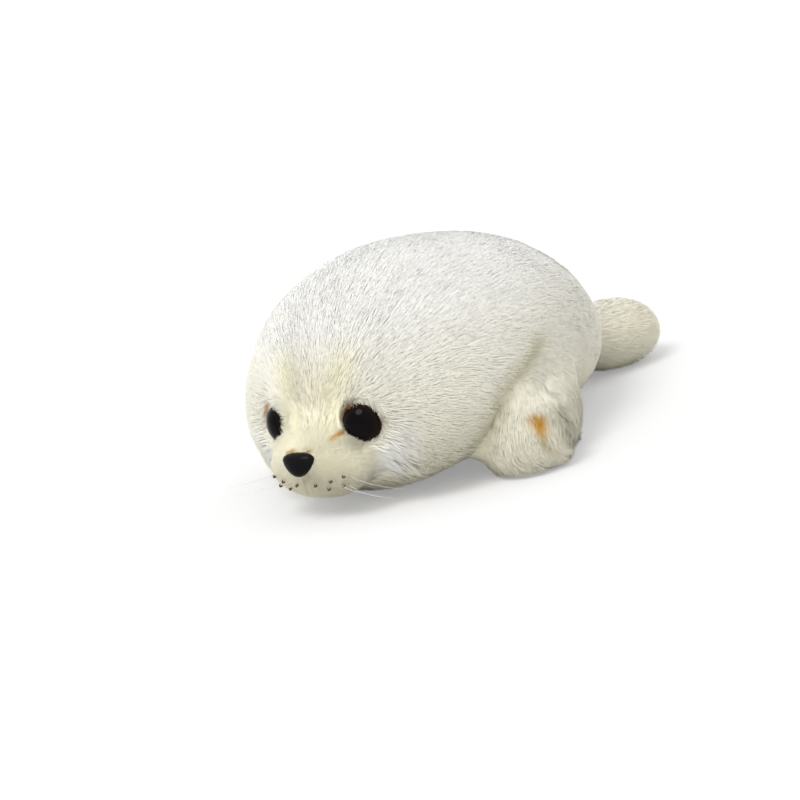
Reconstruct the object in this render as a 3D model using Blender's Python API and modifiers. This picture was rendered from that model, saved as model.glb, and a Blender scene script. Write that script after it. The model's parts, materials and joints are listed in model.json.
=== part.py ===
"""Plush baby seal that lies on its belly and looks along -Y.

One soft toy: head and body, a short-pile muzzle, two front and two hind
flippers, plastic eyes and nose on shanks with locking washers, clear whiskers
and small stitched whisker spots. Sizes are in metres and +Z is up. The seal's
own left side is +X. Soft pieces reach to the outside of their pile.
"""

import math
from dataclasses import dataclass

import bmesh
import bpy
from mathutils import Matrix, Vector
from mathutils.bvhtree import BVHTree
from mathutils.geometry import intersect_point_line

# Body sections from the face to the rump: place along Y, full width, top and
# underside above the floor.
FACE_Y = -0.1142
FACE_WIDTH = 0.034
FACE_TOP = 0.0646
FACE_UNDER = 0.022
BROW_Y = -0.102
BROW_WIDTH = 0.108
BROW_TOP = 0.087
BROW_UNDER = 0.010
CHEEK_Y = -0.0816
CHEEK_WIDTH = 0.145
CHEEK_TOP = 0.1075
CHEEK_UNDER = 0.002
CROWN_Y = -0.053
CROWN_WIDTH = 0.166
CROWN_TOP = 0.1180
CROWN_UNDER = 0.004
SHOULDER_Y = -0.0204
SHOULDER_WIDTH = 0.168
SHOULDER_TOP = 0.1200
SHOULDER_UNDER = 0.005
BACK_Y = 0.0122
BACK_WIDTH = 0.159
BACK_TOP = 0.1150
LOIN_Y = 0.0428
LOIN_WIDTH = 0.140
LOIN_TOP = 0.1060
HIP_Y = 0.0714
HIP_WIDTH = 0.110
HIP_TOP = 0.0895
HIP_UNDER = 0.002
RUMP_Y = 0.0898
RUMP_WIDTH = 0.072
RUMP_TOP = 0.0735
RUMP_UNDER = 0.014
FACE_ROUNDING = 0.004
RUMP_ROUNDING = 0.008
# How far the filling sags below the floor line before the floor flattens it.
BELLY_PRESS = 0.0025
# Height of the widest line, as a share of the section's height.
HEAD_WIDEST = 0.38
TRUNK_WIDEST = 0.46

# Muzzle pad on the front of the head.
MUZZLE_WIDTH = 0.066
MUZZLE_DEPTH = 0.031
MUZZLE_HEIGHT = 0.035
MUZZLE_Y = -0.1140
MUZZLE_Z = 0.0268

# Forehead seams: valleys in the stuffed head from above each eye to the crown,
# as places out from the middle, along and up.
BROW_SEAM_PLACES = (
    (0.0140, -0.1150, 0.0520),
    (0.0165, -0.1105, 0.0680),
    (0.0215, -0.1040, 0.0800),
    (0.0245, -0.0920, 0.0950),
    (0.0240, -0.0720, 0.1090),
    (0.0200, -0.0500, 0.1170),
)
BROW_SEAM_WIDTH = 0.0080
BROW_SEAM_DEPTH = 0.0028

# Front flippers: a large pad and a slim lobe behind it that runs up the side.
FLIPPER_X = 0.0725
FLIPPER_Y = -0.040
FLIPPER_Z = 0.0175
FLIPPER_WIDTH = 0.056
FLIPPER_LENGTH = 0.053
FLIPPER_HEIGHT = 0.050
FLIPPER_TURN = math.radians(-22)
LOBE_X = 0.0740
LOBE_Y = -0.0130
LOBE_Z = 0.0255
LOBE_WIDTH = 0.030
LOBE_LENGTH = 0.034
LOBE_HEIGHT = 0.056

# Hind flippers, side by side behind the rump.
HIND_X = 0.0150
HIND_Y = 0.1250
HIND_Z = 0.0215
HIND_WIDTH = 0.046
HIND_LENGTH = 0.084
HIND_HEIGHT = 0.040
HIND_TURN = math.radians(-8)
HIND_TILT = math.radians(-9)
# How much slimmer a hind flipper is at its root than at its middle.
HIND_TAPER = 0.22

# Eyes: glossy domes whose backs sit on the cover, under the pile.
EYE_SPACING = 0.0575
EYE_Z = 0.0472
EYE_DIAMETER = 0.0208
EYE_DOME = 0.0090
EYE_EDGE = 0.0012
EYE_SEAT = 0.0054
EYE_OUTWARD = math.radians(11)
EYE_SHANK_DIAMETER = 0.0050
EYE_SHANK_LENGTH = 0.0100
EYE_WASHER_DIAMETER = 0.0160
EYE_WASHER_THICKNESS = 0.0016
EYE_WASHER_DEPTH = 0.0040

# Nose: a rounded triangle, wide at the top.
NOSE_Z = 0.0326
NOSE_WIDTH = 0.0240
NOSE_HEIGHT = 0.0128
NOSE_DEPTH = 0.0085
NOSE_TAPER = 0.60
NOSE_SEAT = 0.0022
NOSE_SHANK_DIAMETER = 0.0040
NOSE_SHANK_LENGTH = 0.0050
NOSE_WASHER_DIAMETER = 0.0100
NOSE_WASHER_THICKNESS = 0.0010
NOSE_WASHER_DEPTH = 0.0024

# Whisker spots and whiskers: places on the face of the muzzle, out from the
# middle and up from the floor.
SPOT_DIAMETER = 0.0024
SPOT_THICKNESS = 0.0008
SPOT_PLACES = (
    (0.0062, 0.0210),
    (0.0128, 0.0187),
    (0.0157, 0.0228),
    (0.0209, 0.0196),
    (0.0229, 0.0246),
)
WHISKER_DIAMETER = 0.0004
WHISKER_ROOT = 0.0025
WHISKER_DROOP = 0.0030
# Each whisker leaves the pile just outside one of the three outer spots.
WHISKER_OFFSET = 0.0020
INNER_WHISKER_LENGTH = 0.040
LOWER_WHISKER_LENGTH = 0.034
UPPER_WHISKER_LENGTH = 0.038

# Clearances between pieces that touch.
SEAM_GAP = 0.0003
STUD_GAP = 0.0003

# Mesh density.
BODY_SEGMENTS = 20
BODY_SMOOTHING = 2
PAD_SEGMENTS = 24
PAD_RINGS = 14
STUD_SEGMENTS = 20
WHISKER_POINTS = 8

COLLECTION = "plush_seal"
CUTTERS = "cutters"


@dataclass(frozen=True)
class Section:
    """One egg-shaped section across the body."""

    y: float
    width: float
    top: float
    under: float
    widest: float

    def middle(self):
        """Height of the widest line."""
        return self.under + (self.top - self.under) * self.widest

    def point(self, angle, grow=1.0):
        """Point on the section at an angle from +X towards +Z."""
        middle = self.middle()
        reach = self.top - middle if math.sin(angle) > 0 else middle - self.under
        return Vector((
            0.5 * self.width * grow * math.cos(angle),
            self.y,
            middle + reach * grow * math.sin(angle),
        ))


def clear_scene():
    for obj in list(bpy.data.objects):
        bpy.data.objects.remove(obj, do_unlink=True)


def make_collection(name):
    found = bpy.data.collections.get(name)
    if found is None:
        found = bpy.data.collections.new(name)
        bpy.context.scene.collection.children.link(found)
    return found


def make_material(name, colour, roughness, transmission=0.0):
    mat = bpy.data.materials.new(name)
    mat.use_nodes = True
    shader = mat.node_tree.nodes["Principled BSDF"]
    shader.inputs["Base Color"].default_value = (*colour, 1.0)
    shader.inputs["Roughness"].default_value = roughness
    shader.inputs["Metallic"].default_value = 0.0
    shader.inputs["Transmission Weight"].default_value = transmission
    mat.diffuse_color = (*colour, 1.0)
    return mat


def add_part(name, data, mat, root):
    """A sub-part in the seal's collection, carried by the root empty."""
    obj = bpy.data.objects.new(name, data)
    make_collection(COLLECTION).objects.link(obj)
    obj.parent = root
    data.materials.append(mat)
    if isinstance(data, bpy.types.Mesh):
        data.shade_smooth()
        data.set_sharp_from_angle(angle=math.radians(40))
    return obj


def add_cutter(name, mesh, root):
    """A cutting shape, kept out of the model."""
    obj = bpy.data.objects.new(name, mesh)
    make_collection(CUTTERS).objects.link(obj)
    obj.parent = root
    obj.hide_render = True
    obj.display_type = "WIRE"
    return obj


def boolean(obj, tool, operation="DIFFERENCE"):
    mod = obj.modifiers.new(f"{operation.lower()} {tool.name}", "BOOLEAN")
    mod.operation = operation
    mod.solver = "EXACT"
    mod.object = tool


def evaluated_mesh(obj):
    """The object's mesh with its modifiers, in its own coordinates."""
    bpy.context.view_layer.update()
    graph = bpy.context.evaluated_depsgraph_get()
    return bpy.data.meshes.new_from_object(obj.evaluated_get(graph))


def grown_cutter(name, obj, gap, root):
    """A cutter with the object's shape, larger by the gap all round."""
    mesh = evaluated_mesh(obj)
    normals = [v.normal.copy() for v in mesh.vertices]
    for vertex, normal in zip(mesh.vertices, normals):
        vertex.co += normal * gap
    cutter = add_cutter(name, mesh, root)
    cutter.matrix_local = obj.matrix_local
    return cutter


def surface_finder(obj):
    """A search tree of the object's evaluated surface in the root's frame."""
    mesh = evaluated_mesh(obj)
    mesh.transform(obj.matrix_local)
    bm = bmesh.new()
    bm.from_mesh(mesh)
    tree = BVHTree.FromBMesh(bm)
    bm.free()
    bpy.data.meshes.remove(mesh)
    return tree


def seat_on(tree, x, z, outward=0.0):
    """Place on the front of a surface, its local +Z facing out.

    A positive outward angle turns it further away from the seal's middle.
    """
    place, normal, _, _ = tree.ray_cast(Vector((x, -1.0, z)), Vector((0, 1, 0)))
    turn = normal.to_track_quat("Z", "Y").to_matrix().to_4x4()
    swing = Matrix.Rotation(math.copysign(outward, x), 4, "Z")
    return Matrix.Translation(place) @ swing @ turn


def between(a, b, c, d, t):
    """Catmull-Rom value between b and c."""
    return 0.5 * (
        2 * b + (c - a) * t + (2 * a - 5 * b + 4 * c - d) * t * t
        + (3 * b - a - 3 * c + d) * t ** 3
    )


def fair_sections(sections):
    """The sections with one more between each pair, on a smooth curve."""
    fair = []
    last = len(sections) - 1
    for i in range(last):
        rows = [sections[k] for k in (max(i - 1, 0), i, i + 1, min(i + 2, last))]
        fair.append(sections[i])
        middle = [
            between(*(getattr(row, field) for row in rows), 0.5)
            for field in ("y", "width", "top", "under", "widest")
        ]
        fair.append(Section(*middle))
    fair.append(sections[last])
    return fair


def body_cage():
    """Rings on the body's sections, closed to a point at each end."""
    sections = fair_sections([
        Section(FACE_Y, FACE_WIDTH, FACE_TOP, FACE_UNDER, HEAD_WIDEST),
        Section(BROW_Y, BROW_WIDTH, BROW_TOP, BROW_UNDER, HEAD_WIDEST),
        Section(CHEEK_Y, CHEEK_WIDTH, CHEEK_TOP, CHEEK_UNDER, HEAD_WIDEST),
        Section(CROWN_Y, CROWN_WIDTH, CROWN_TOP, CROWN_UNDER, HEAD_WIDEST),
        Section(SHOULDER_Y, SHOULDER_WIDTH, SHOULDER_TOP, SHOULDER_UNDER,
                TRUNK_WIDEST),
        Section(BACK_Y, BACK_WIDTH, BACK_TOP, -BELLY_PRESS, TRUNK_WIDEST),
        Section(LOIN_Y, LOIN_WIDTH, LOIN_TOP, -BELLY_PRESS, TRUNK_WIDEST),
        Section(HIP_Y, HIP_WIDTH, HIP_TOP, HIP_UNDER, TRUNK_WIDEST),
        Section(RUMP_Y, RUMP_WIDTH, RUMP_TOP, RUMP_UNDER, TRUNK_WIDEST),
    ])
    # The surface falls inside its cage by this much at each corner.
    grow = 1 / (0.75 + 0.25 * math.cos(2 * math.pi / BODY_SEGMENTS))
    bm = bmesh.new()
    rings = []
    for section in sections:
        rings.append([
            bm.verts.new(section.point(2 * math.pi * k / BODY_SEGMENTS, grow))
            for k in range(BODY_SEGMENTS)
        ])
    for ring, following in zip(rings, rings[1:]):
        for k in range(BODY_SEGMENTS):
            n = (k + 1) % BODY_SEGMENTS
            bm.faces.new((ring[k], ring[n], following[n], following[k]))
    first, last = sections[0], sections[-1]
    face = bm.verts.new((0, first.y - FACE_ROUNDING, first.middle()))
    rump = bm.verts.new((0, last.y + RUMP_ROUNDING, last.middle()))
    for k in range(BODY_SEGMENTS):
        n = (k + 1) % BODY_SEGMENTS
        bm.faces.new((face, rings[0][n], rings[0][k]))
        bm.faces.new((rump, rings[-1][k], rings[-1][n]))
    bmesh.ops.recalc_face_normals(bm, faces=bm.faces)
    mesh = bpy.data.meshes.new("body")
    bm.to_mesh(mesh)
    bm.free()
    return mesh


def press_brow_seams(mesh):
    """Pull the head's surface in along both forehead seams.

    The valley is deepest over the eye and fades out on the crown.
    """
    places = [Vector(place) for place in BROW_SEAM_PLACES]
    pulls = []
    for vertex in mesh.vertices:
        point = Vector((abs(vertex.co.x), vertex.co.y, vertex.co.z))
        nearest, passed = math.inf, 0.0
        for k, (start, end) in enumerate(zip(places, places[1:])):
            on, t = intersect_point_line(point, start, end)
            t = min(max(t, 0.0), 1.0)
            apart = (point - start.lerp(end, t)).length
            if apart < nearest:
                nearest, passed = apart, (k + t) / (len(places) - 1)
        depth = BROW_SEAM_DEPTH * (1 - passed ** 2)
        pulls.append(depth * math.exp(-((nearest / BROW_SEAM_WIDTH) ** 2)))
    normals = [vertex.normal.copy() for vertex in mesh.vertices]
    for vertex, normal, pull in zip(mesh.vertices, normals, pulls):
        vertex.co -= normal * pull


def pad_mesh(name, width, length, height, taper=0.0):
    """A stuffed pad: a ball of the given size, slimmer towards -Y."""
    bm = bmesh.new()
    bmesh.ops.create_uvsphere(
        bm, u_segments=PAD_SEGMENTS, v_segments=PAD_RINGS, radius=0.5)
    for vert in bm.verts:
        swell = 1 + taper * 2 * vert.co.y
        vert.co.x *= width * swell
        vert.co.z *= height * swell
        vert.co.y *= length
    mesh = bpy.data.meshes.new(name)
    bm.to_mesh(mesh)
    bm.free()
    return mesh


def block_cutter(name, low, high, root):
    bm = bmesh.new()
    bmesh.ops.create_cube(bm, size=1.0)
    size = Vector(high) - Vector(low)
    bmesh.ops.scale(bm, vec=size, verts=bm.verts)
    bmesh.ops.translate(bm, vec=Vector(low) + size / 2, verts=bm.verts)
    mesh = bpy.data.meshes.new(name)
    bm.to_mesh(mesh)
    bm.free()
    return add_cutter(name, mesh, root)


def turned_mesh(name, profile, closed=False):
    """A mesh profile in the XZ plane, for a Screw modifier to turn."""
    bm = bmesh.new()
    points = [bm.verts.new((radius, 0, height)) for radius, height in profile]
    for a, b in zip(points, points[1:]):
        bm.edges.new((a, b))
    if closed:
        bm.edges.new((points[-1], points[0]))
    mesh = bpy.data.meshes.new(name)
    bm.to_mesh(mesh)
    bm.free()
    return mesh


def turn(obj):
    mod = obj.modifiers.new("turn", "SCREW")
    mod.axis = "Z"
    mod.angle = 2 * math.pi
    mod.steps = mod.render_steps = STUD_SEGMENTS
    mod.use_merge_vertices = True
    mod.merge_threshold = 0.00001


def eye_profile():
    """Dome, edge, flat back and shank, from the top of the dome down."""
    back = -EYE_SEAT
    radius = EYE_DIAMETER / 2
    shank = EYE_SHANK_DIAMETER / 2
    dome = []
    for k in range(8):
        angle = math.radians(90) * k / 7
        dome.append((
            radius * math.sin(angle),
            back + EYE_EDGE + (EYE_DOME - EYE_EDGE) * math.cos(angle),
        ))
    return dome + [
        (radius - EYE_EDGE / 3, back),
        (shank, back),
        (shank, back - EYE_SHANK_LENGTH),
        (0, back - EYE_SHANK_LENGTH),
    ]


def washer_profile(shank_diameter, diameter, thickness, top):
    inner = shank_diameter / 2 + STUD_GAP
    outer = diameter / 2
    return [(outer, top), (outer, top - thickness),
            (inner, top - thickness), (inner, top)]


def pocket_profile(mouth, back, shank_diameter, shank_end,
                   washer_diameter, washer_thickness, washer_top):
    """Recess for a stud's head, its shank and the washer behind the cover."""
    head = mouth / 2 + STUD_GAP
    shank = shank_diameter / 2 + STUD_GAP
    washer = washer_diameter / 2 + STUD_GAP
    return [
        (0, 0.03), (head, 0.03), (head, back - STUD_GAP),
        (shank, back - STUD_GAP), (shank, washer_top + STUD_GAP),
        (washer, washer_top + STUD_GAP),
        (washer, washer_top - washer_thickness - STUD_GAP),
        (shank, washer_top - washer_thickness - STUD_GAP),
        (shank, shank_end - STUD_GAP), (0, shank_end - STUD_GAP),
    ]


def nose_head_mesh():
    """A ball pressed to a rounded triangle, wide and flat at the top."""
    bm = bmesh.new()
    bmesh.ops.create_uvsphere(bm, u_segments=20, v_segments=12, radius=1.0)
    for vert in bm.verts:
        x, y, z = vert.co
        lift = math.copysign(abs(y) ** 0.8, y)
        if lift > 0:
            lift *= 0.84
        narrow = 1 - NOSE_TAPER * (1 - lift) * 0.5
        vert.co = (
            0.5 * NOSE_WIDTH * x * narrow / (1 - NOSE_TAPER * 0.12),
            0.5 * NOSE_HEIGHT * lift * 1.08,
            0.5 * NOSE_DEPTH * z + 0.5 * NOSE_DEPTH - NOSE_SEAT,
        )
    mesh = bpy.data.meshes.new("nose")
    bm.to_mesh(mesh)
    bm.free()
    return mesh


def cylinder_cutter(name, radius, low, high, root, place):
    """A round cutter along the local Z of a place on a surface."""
    bm = bmesh.new()
    bmesh.ops.create_cone(
        bm, cap_ends=True, segments=12, radius1=radius, radius2=radius,
        depth=high - low, matrix=Matrix.Translation((0, 0, (low + high) / 2)))
    mesh = bpy.data.meshes.new(name)
    bm.to_mesh(mesh)
    bm.free()
    cutter = add_cutter(name, mesh, root)
    cutter.matrix_local = place
    return cutter


def whisker_curve(name, place, side, length):
    """A clear filament that leaves the muzzle and droops to the side."""
    out = (place.to_3x3() @ Vector((0, 0, 1))).normalized()
    aside = Vector((side, 0.05, -0.12)).normalized()
    root = place.translation - out * (WHISKER_ROOT - STUD_GAP)
    clear = place.translation + out * 0.002
    bend = clear + (out + aside).normalized() * length * 0.4
    end = clear + aside * length - Vector((0, 0, WHISKER_DROOP))
    curve = bpy.data.curves.new(name, "CURVE")
    curve.dimensions = "3D"
    curve.bevel_depth = WHISKER_DIAMETER / 2
    curve.bevel_resolution = 2
    curve.use_fill_caps = True
    spline = curve.splines.new("POLY")
    spline.points.add(WHISKER_POINTS - 1)
    spline.points[0].co = (*root, 1.0)
    for k in range(1, WHISKER_POINTS):
        t = (k - 1) / (WHISKER_POINTS - 2)
        bow = (1 - t) ** 2 * clear + 2 * t * (1 - t) * bend + t * t * end
        spline.points[k].co = (*bow, 1.0)
    return curve


def mirrored(side_name):
    return 1 if side_name == "left" else -1


def build_soft_pieces(root, mats):
    """Body, muzzle and flippers, with their seams cut to the body."""
    body = add_part("body", body_cage(), mats["long_pile"], root)
    smooth = body.modifiers.new("smooth", "SUBSURF")
    smooth.levels = smooth.render_levels = BODY_SMOOTHING
    sewn = evaluated_mesh(body)
    body.modifiers.remove(smooth)
    press_brow_seams(sewn)
    body.data = sewn
    seat = grown_cutter("body_seam", body, SEAM_GAP, root)
    floor = block_cutter("floor", (-0.5, -0.5, -0.1), (0.5, 0.5, 0), root)

    muzzle = add_part(
        "muzzle", pad_mesh("muzzle", MUZZLE_WIDTH, MUZZLE_DEPTH, MUZZLE_HEIGHT),
        mats["short_pile"], root)
    muzzle.location = (0, MUZZLE_Y, MUZZLE_Z)
    skin = {"body": surface_finder(body), "muzzle": surface_finder(muzzle)}

    for side in ("left", "right"):
        sign = mirrored(side)
        flipper = add_part(
            f"front_flipper_{side}",
            pad_mesh(f"front_flipper_{side}", FLIPPER_WIDTH, FLIPPER_LENGTH, FLIPPER_HEIGHT),
            mats["long_pile"], root)
        flipper.location = (sign * FLIPPER_X, FLIPPER_Y, FLIPPER_Z)
        flipper.rotation_euler.z = sign * FLIPPER_TURN
        lobe = add_cutter(
            f"lobe_{side}",
            pad_mesh(f"lobe_{side}", LOBE_WIDTH, LOBE_LENGTH, LOBE_HEIGHT), root)
        lobe.location = (sign * LOBE_X, LOBE_Y, LOBE_Z)
        boolean(flipper, lobe, "UNION")
        boolean(flipper, seat)
        boolean(flipper, floor)

        hind = add_part(
            f"hind_flipper_{side}",
            pad_mesh(f"hind_flipper_{side}", HIND_WIDTH, HIND_LENGTH, HIND_HEIGHT,
                     HIND_TAPER),
            mats["long_pile"], root)
        hind.location = (sign * HIND_X, HIND_Y, HIND_Z)
        hind.rotation_euler = (HIND_TILT, 0, sign * HIND_TURN)
        middle = block_cutter(
            f"middle_{side}",
            (min(sign * SEAM_GAP / 2, -sign * 0.2), 0, -0.2),
            (max(sign * SEAM_GAP / 2, -sign * 0.2), 0.4, 0.3), root)
        boolean(hind, middle)
        boolean(hind, seat)
        boolean(hind, floor)


    boolean(muzzle, seat)
    boolean(body, floor)
    return body, muzzle, skin


def build_eyes(root, mats, body, muzzle, skin):
    for side in ("left", "right"):
        place = seat_on(skin["body"], mirrored(side) * EYE_SPACING / 2, EYE_Z,
                        EYE_OUTWARD)
        eye = add_part(
            f"eye_{side}", turned_mesh(f"eye_{side}", eye_profile()),
            mats["eye"], root)
        eye.matrix_local = place
        turn(eye)
        washer_top = -EYE_SEAT - EYE_WASHER_DEPTH
        washer = add_part(
            f"eye_washer_{side}",
            turned_mesh(f"eye_washer_{side}", washer_profile(
                EYE_SHANK_DIAMETER, EYE_WASHER_DIAMETER, EYE_WASHER_THICKNESS,
                washer_top), closed=True),
            mats["washer"], root)
        washer.matrix_local = place
        turn(washer)
        pocket = add_cutter(
            f"eye_pocket_{side}",
            turned_mesh(f"eye_pocket_{side}", pocket_profile(
                EYE_DIAMETER, -EYE_SEAT, EYE_SHANK_DIAMETER,
                -EYE_SEAT - EYE_SHANK_LENGTH, EYE_WASHER_DIAMETER,
                EYE_WASHER_THICKNESS, washer_top)), root)
        pocket.matrix_local = place
        turn(pocket)
        boolean(body, pocket)
        boolean(muzzle, pocket)


def build_nose(root, mats, muzzle, skin):
    place = seat_on(skin["muzzle"], 0, NOSE_Z)
    nose = add_part("nose", nose_head_mesh(), mats["nose"], root)
    nose.matrix_local = place
    bed = grown_cutter("nose_bed", nose, STUD_GAP, root)
    shank = cylinder_cutter(
        "nose_shank", NOSE_SHANK_DIAMETER / 2, -NOSE_SEAT - NOSE_SHANK_LENGTH,
        0, root, place)
    boolean(nose, shank, "UNION")
    washer_top = -NOSE_SEAT - NOSE_WASHER_DEPTH
    washer = add_part(
        "nose_washer",
        turned_mesh("nose_washer", washer_profile(
            NOSE_SHANK_DIAMETER, NOSE_WASHER_DIAMETER, NOSE_WASHER_THICKNESS,
            washer_top), closed=True),
        mats["washer"], root)
    washer.matrix_local = place
    turn(washer)
    shank_radius = NOSE_SHANK_DIAMETER / 2 + STUD_GAP
    washer_radius = NOSE_WASHER_DIAMETER / 2 + STUD_GAP
    shank_end = -NOSE_SEAT - NOSE_SHANK_LENGTH
    pocket = add_cutter("nose_pocket", turned_mesh("nose_pocket", [
        (0, 0), (shank_radius, 0), (shank_radius, washer_top + STUD_GAP),
        (washer_radius, washer_top + STUD_GAP),
        (washer_radius, washer_top - NOSE_WASHER_THICKNESS - STUD_GAP),
        (shank_radius, washer_top - NOSE_WASHER_THICKNESS - STUD_GAP),
        (shank_radius, shank_end - STUD_GAP), (0, shank_end - STUD_GAP),
    ]), root)
    pocket.matrix_local = place
    turn(pocket)
    boolean(muzzle, bed)
    boolean(muzzle, pocket)


def build_whiskers(root, mats, muzzle, skin):
    """Stitched spots on the muzzle, and filaments in small holes."""
    for side in ("left", "right"):
        sign = mirrored(side)
        for number, (x, z) in enumerate(SPOT_PLACES, start=1):
            name = f"whisker_spot_{side}_{number}"
            bm = bmesh.new()
            bmesh.ops.create_uvsphere(bm, u_segments=10, v_segments=6, radius=0.5)
            bmesh.ops.scale(
                bm, vec=(SPOT_DIAMETER, SPOT_DIAMETER, SPOT_THICKNESS),
                verts=bm.verts)
            bmesh.ops.translate(
                bm, vec=(0, 0, SPOT_THICKNESS / 2 + SEAM_GAP), verts=bm.verts)
            mesh = bpy.data.meshes.new(name)
            bm.to_mesh(mesh)
            bm.free()
            spot = add_part(name, mesh, mats["thread"], root)
            spot.matrix_local = seat_on(skin["muzzle"], sign * x, z)
        lengths = (INNER_WHISKER_LENGTH, LOWER_WHISKER_LENGTH,
                   UPPER_WHISKER_LENGTH)
        rows = zip(SPOT_PLACES[-3:], lengths)
        for number, ((x, z), length) in enumerate(rows, start=1):
            name = f"whisker_{side}_{number}"
            place = seat_on(skin["muzzle"], sign * (x + WHISKER_OFFSET), z)
            add_part(name, whisker_curve(name, place, sign, length),
                     mats["whisker"], root)
            hole = cylinder_cutter(
                f"whisker_hole_{side}_{number}",
                WHISKER_DIAMETER / 2 + STUD_GAP, -WHISKER_ROOT, 0.002, root,
                place)
            boolean(muzzle, hole)


def centre_on_floor(root):
    """Move the seal so that its footprint is centred on the origin."""
    bpy.context.view_layer.update()
    graph = bpy.context.evaluated_depsgraph_get()
    reach = []
    for obj in bpy.data.collections[COLLECTION].objects:
        if obj.type == "EMPTY":
            continue
        mesh = bpy.data.meshes.new_from_object(obj.evaluated_get(graph))
        reach += [(obj.matrix_world @ vert.co).y for vert in mesh.vertices]
        bpy.data.meshes.remove(mesh)
    root.location.y -= (min(reach) + max(reach)) / 2


def main():
    clear_scene()
    root = bpy.data.objects.new("seal", None)
    make_collection(COLLECTION).objects.link(root)
    mats = {
        "long_pile": make_material("long_pile", (0.80, 0.77, 0.68), 0.95),
        "short_pile": make_material("short_pile", (0.80, 0.73, 0.58), 0.95),
        "eye": make_material("eye", (0.012, 0.007, 0.005), 0.05),
        "nose": make_material("nose", (0.008, 0.007, 0.007), 0.28),
        "washer": make_material("washer", (0.75, 0.75, 0.72), 0.45),
        "thread": make_material("thread", (0.12, 0.08, 0.04), 0.8),
        "whisker": make_material("whisker", (0.85, 0.85, 0.82), 0.15, 0.8),
    }
    body, muzzle, skin = build_soft_pieces(root, mats)
    build_eyes(root, mats, body, muzzle, skin)
    build_nose(root, mats, muzzle, skin)
    build_whiskers(root, mats, muzzle, skin)
    centre_on_floor(root)


main()
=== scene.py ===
"""Looks of the plush seal: padded covers, pile of real strands, eyes, nose, stitches, whiskers, studio."""
import json
import logging
import math
from dataclasses import dataclass, field
from enum import Enum
from itertools import product
from typing import Callable

import bpy
import numpy as np
from mathutils import Matrix, Vector

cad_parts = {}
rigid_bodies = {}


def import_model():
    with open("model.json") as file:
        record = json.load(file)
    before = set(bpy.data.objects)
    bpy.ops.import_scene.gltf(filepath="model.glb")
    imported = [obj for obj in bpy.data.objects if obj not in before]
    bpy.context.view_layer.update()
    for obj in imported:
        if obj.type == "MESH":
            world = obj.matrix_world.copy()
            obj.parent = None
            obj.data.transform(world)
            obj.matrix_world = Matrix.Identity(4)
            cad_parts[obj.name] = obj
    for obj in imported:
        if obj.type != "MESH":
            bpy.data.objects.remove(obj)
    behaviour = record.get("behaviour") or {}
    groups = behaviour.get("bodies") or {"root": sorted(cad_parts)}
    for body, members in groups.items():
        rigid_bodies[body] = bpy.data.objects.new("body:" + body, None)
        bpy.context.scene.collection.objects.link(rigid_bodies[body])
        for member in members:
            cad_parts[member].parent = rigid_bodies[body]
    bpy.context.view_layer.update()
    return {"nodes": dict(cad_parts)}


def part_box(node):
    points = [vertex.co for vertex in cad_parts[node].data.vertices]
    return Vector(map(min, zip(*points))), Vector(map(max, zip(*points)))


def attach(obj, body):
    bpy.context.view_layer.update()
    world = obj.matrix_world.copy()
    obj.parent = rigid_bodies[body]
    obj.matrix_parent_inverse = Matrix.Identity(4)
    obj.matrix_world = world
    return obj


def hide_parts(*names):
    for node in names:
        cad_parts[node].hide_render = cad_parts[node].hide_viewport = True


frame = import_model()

BODY = "root"
SIDES = ("left", "right")

Array = np.ndarray
Pair = tuple[Array, Array]
Place = tuple[float, float, float]
Colour = tuple[float, float, float]

log = logging.getLogger("seal")


# Small helpers on vectors and fields

def unit(vectors: Array) -> Array:
    """Vectors of length one along the last axis."""
    return vectors / np.maximum(np.linalg.norm(vectors, axis=-1, keepdims=True), 1e-12)


def ease(low: float, high: float, value: Array) -> Array:
    """0 below low, 1 above high and a smooth step between them."""
    share = np.clip((value - low) / (high - low), 0.0, 1.0)
    return share * share * (3.0 - 2.0 * share)


def mix(first: Array, second: Array, share: Array) -> Array:
    """first where share is 0 and second where it is 1."""
    return first + (second - first) * share


def dots(first: Array, second: Array) -> Array:
    """Dot products along the last axis, kept as a column."""
    return (first * second).sum(-1, keepdims=True)


def mirror(points: Array) -> Array:
    """Factors that turn each point over to the left half, and what is worked out there back to it."""
    return np.where(points[:, :1] < 0.0, (-1.0, 1.0, 1.0), (1.0, 1.0, 1.0))


def folded(points: Array) -> Array:
    """Points mirrored to the left half, because the seal is the same on both sides."""
    return points * mirror(points)


@dataclass(frozen=True)
class Waves:
    """A smooth random field between about -1 and 1: a few sine waves in random directions.

    Args:
        size: usual distance from crest to crest, in metres.
        seed: start of the random numbers.
        stretch: how much longer the waves are along each axis.
        count: number of waves.
    """

    size: float
    seed: int
    stretch: Place = (1.0, 1.0, 1.0)
    count: int = 7

    def at(self, points: Array) -> Array:
        """The field's value at each point."""
        rng = np.random.default_rng(self.seed)
        reach = rng.uniform(0.7, 1.5, (self.count, 1)) * 2.0 * math.pi / self.size
        waves = unit(rng.normal(size=(self.count, 3))) * reach / np.array(self.stretch)
        phases = rng.uniform(0.0, 2.0 * math.pi, self.count)
        return np.sin(points @ waves.T + phases).mean(1) * 1.7


CELL_PRIMES = (73856093, 19349663, 83492791)
AXIS_PRIMES = (7919, 104729, 1299709)
SEED_STEP = 6364136


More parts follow.
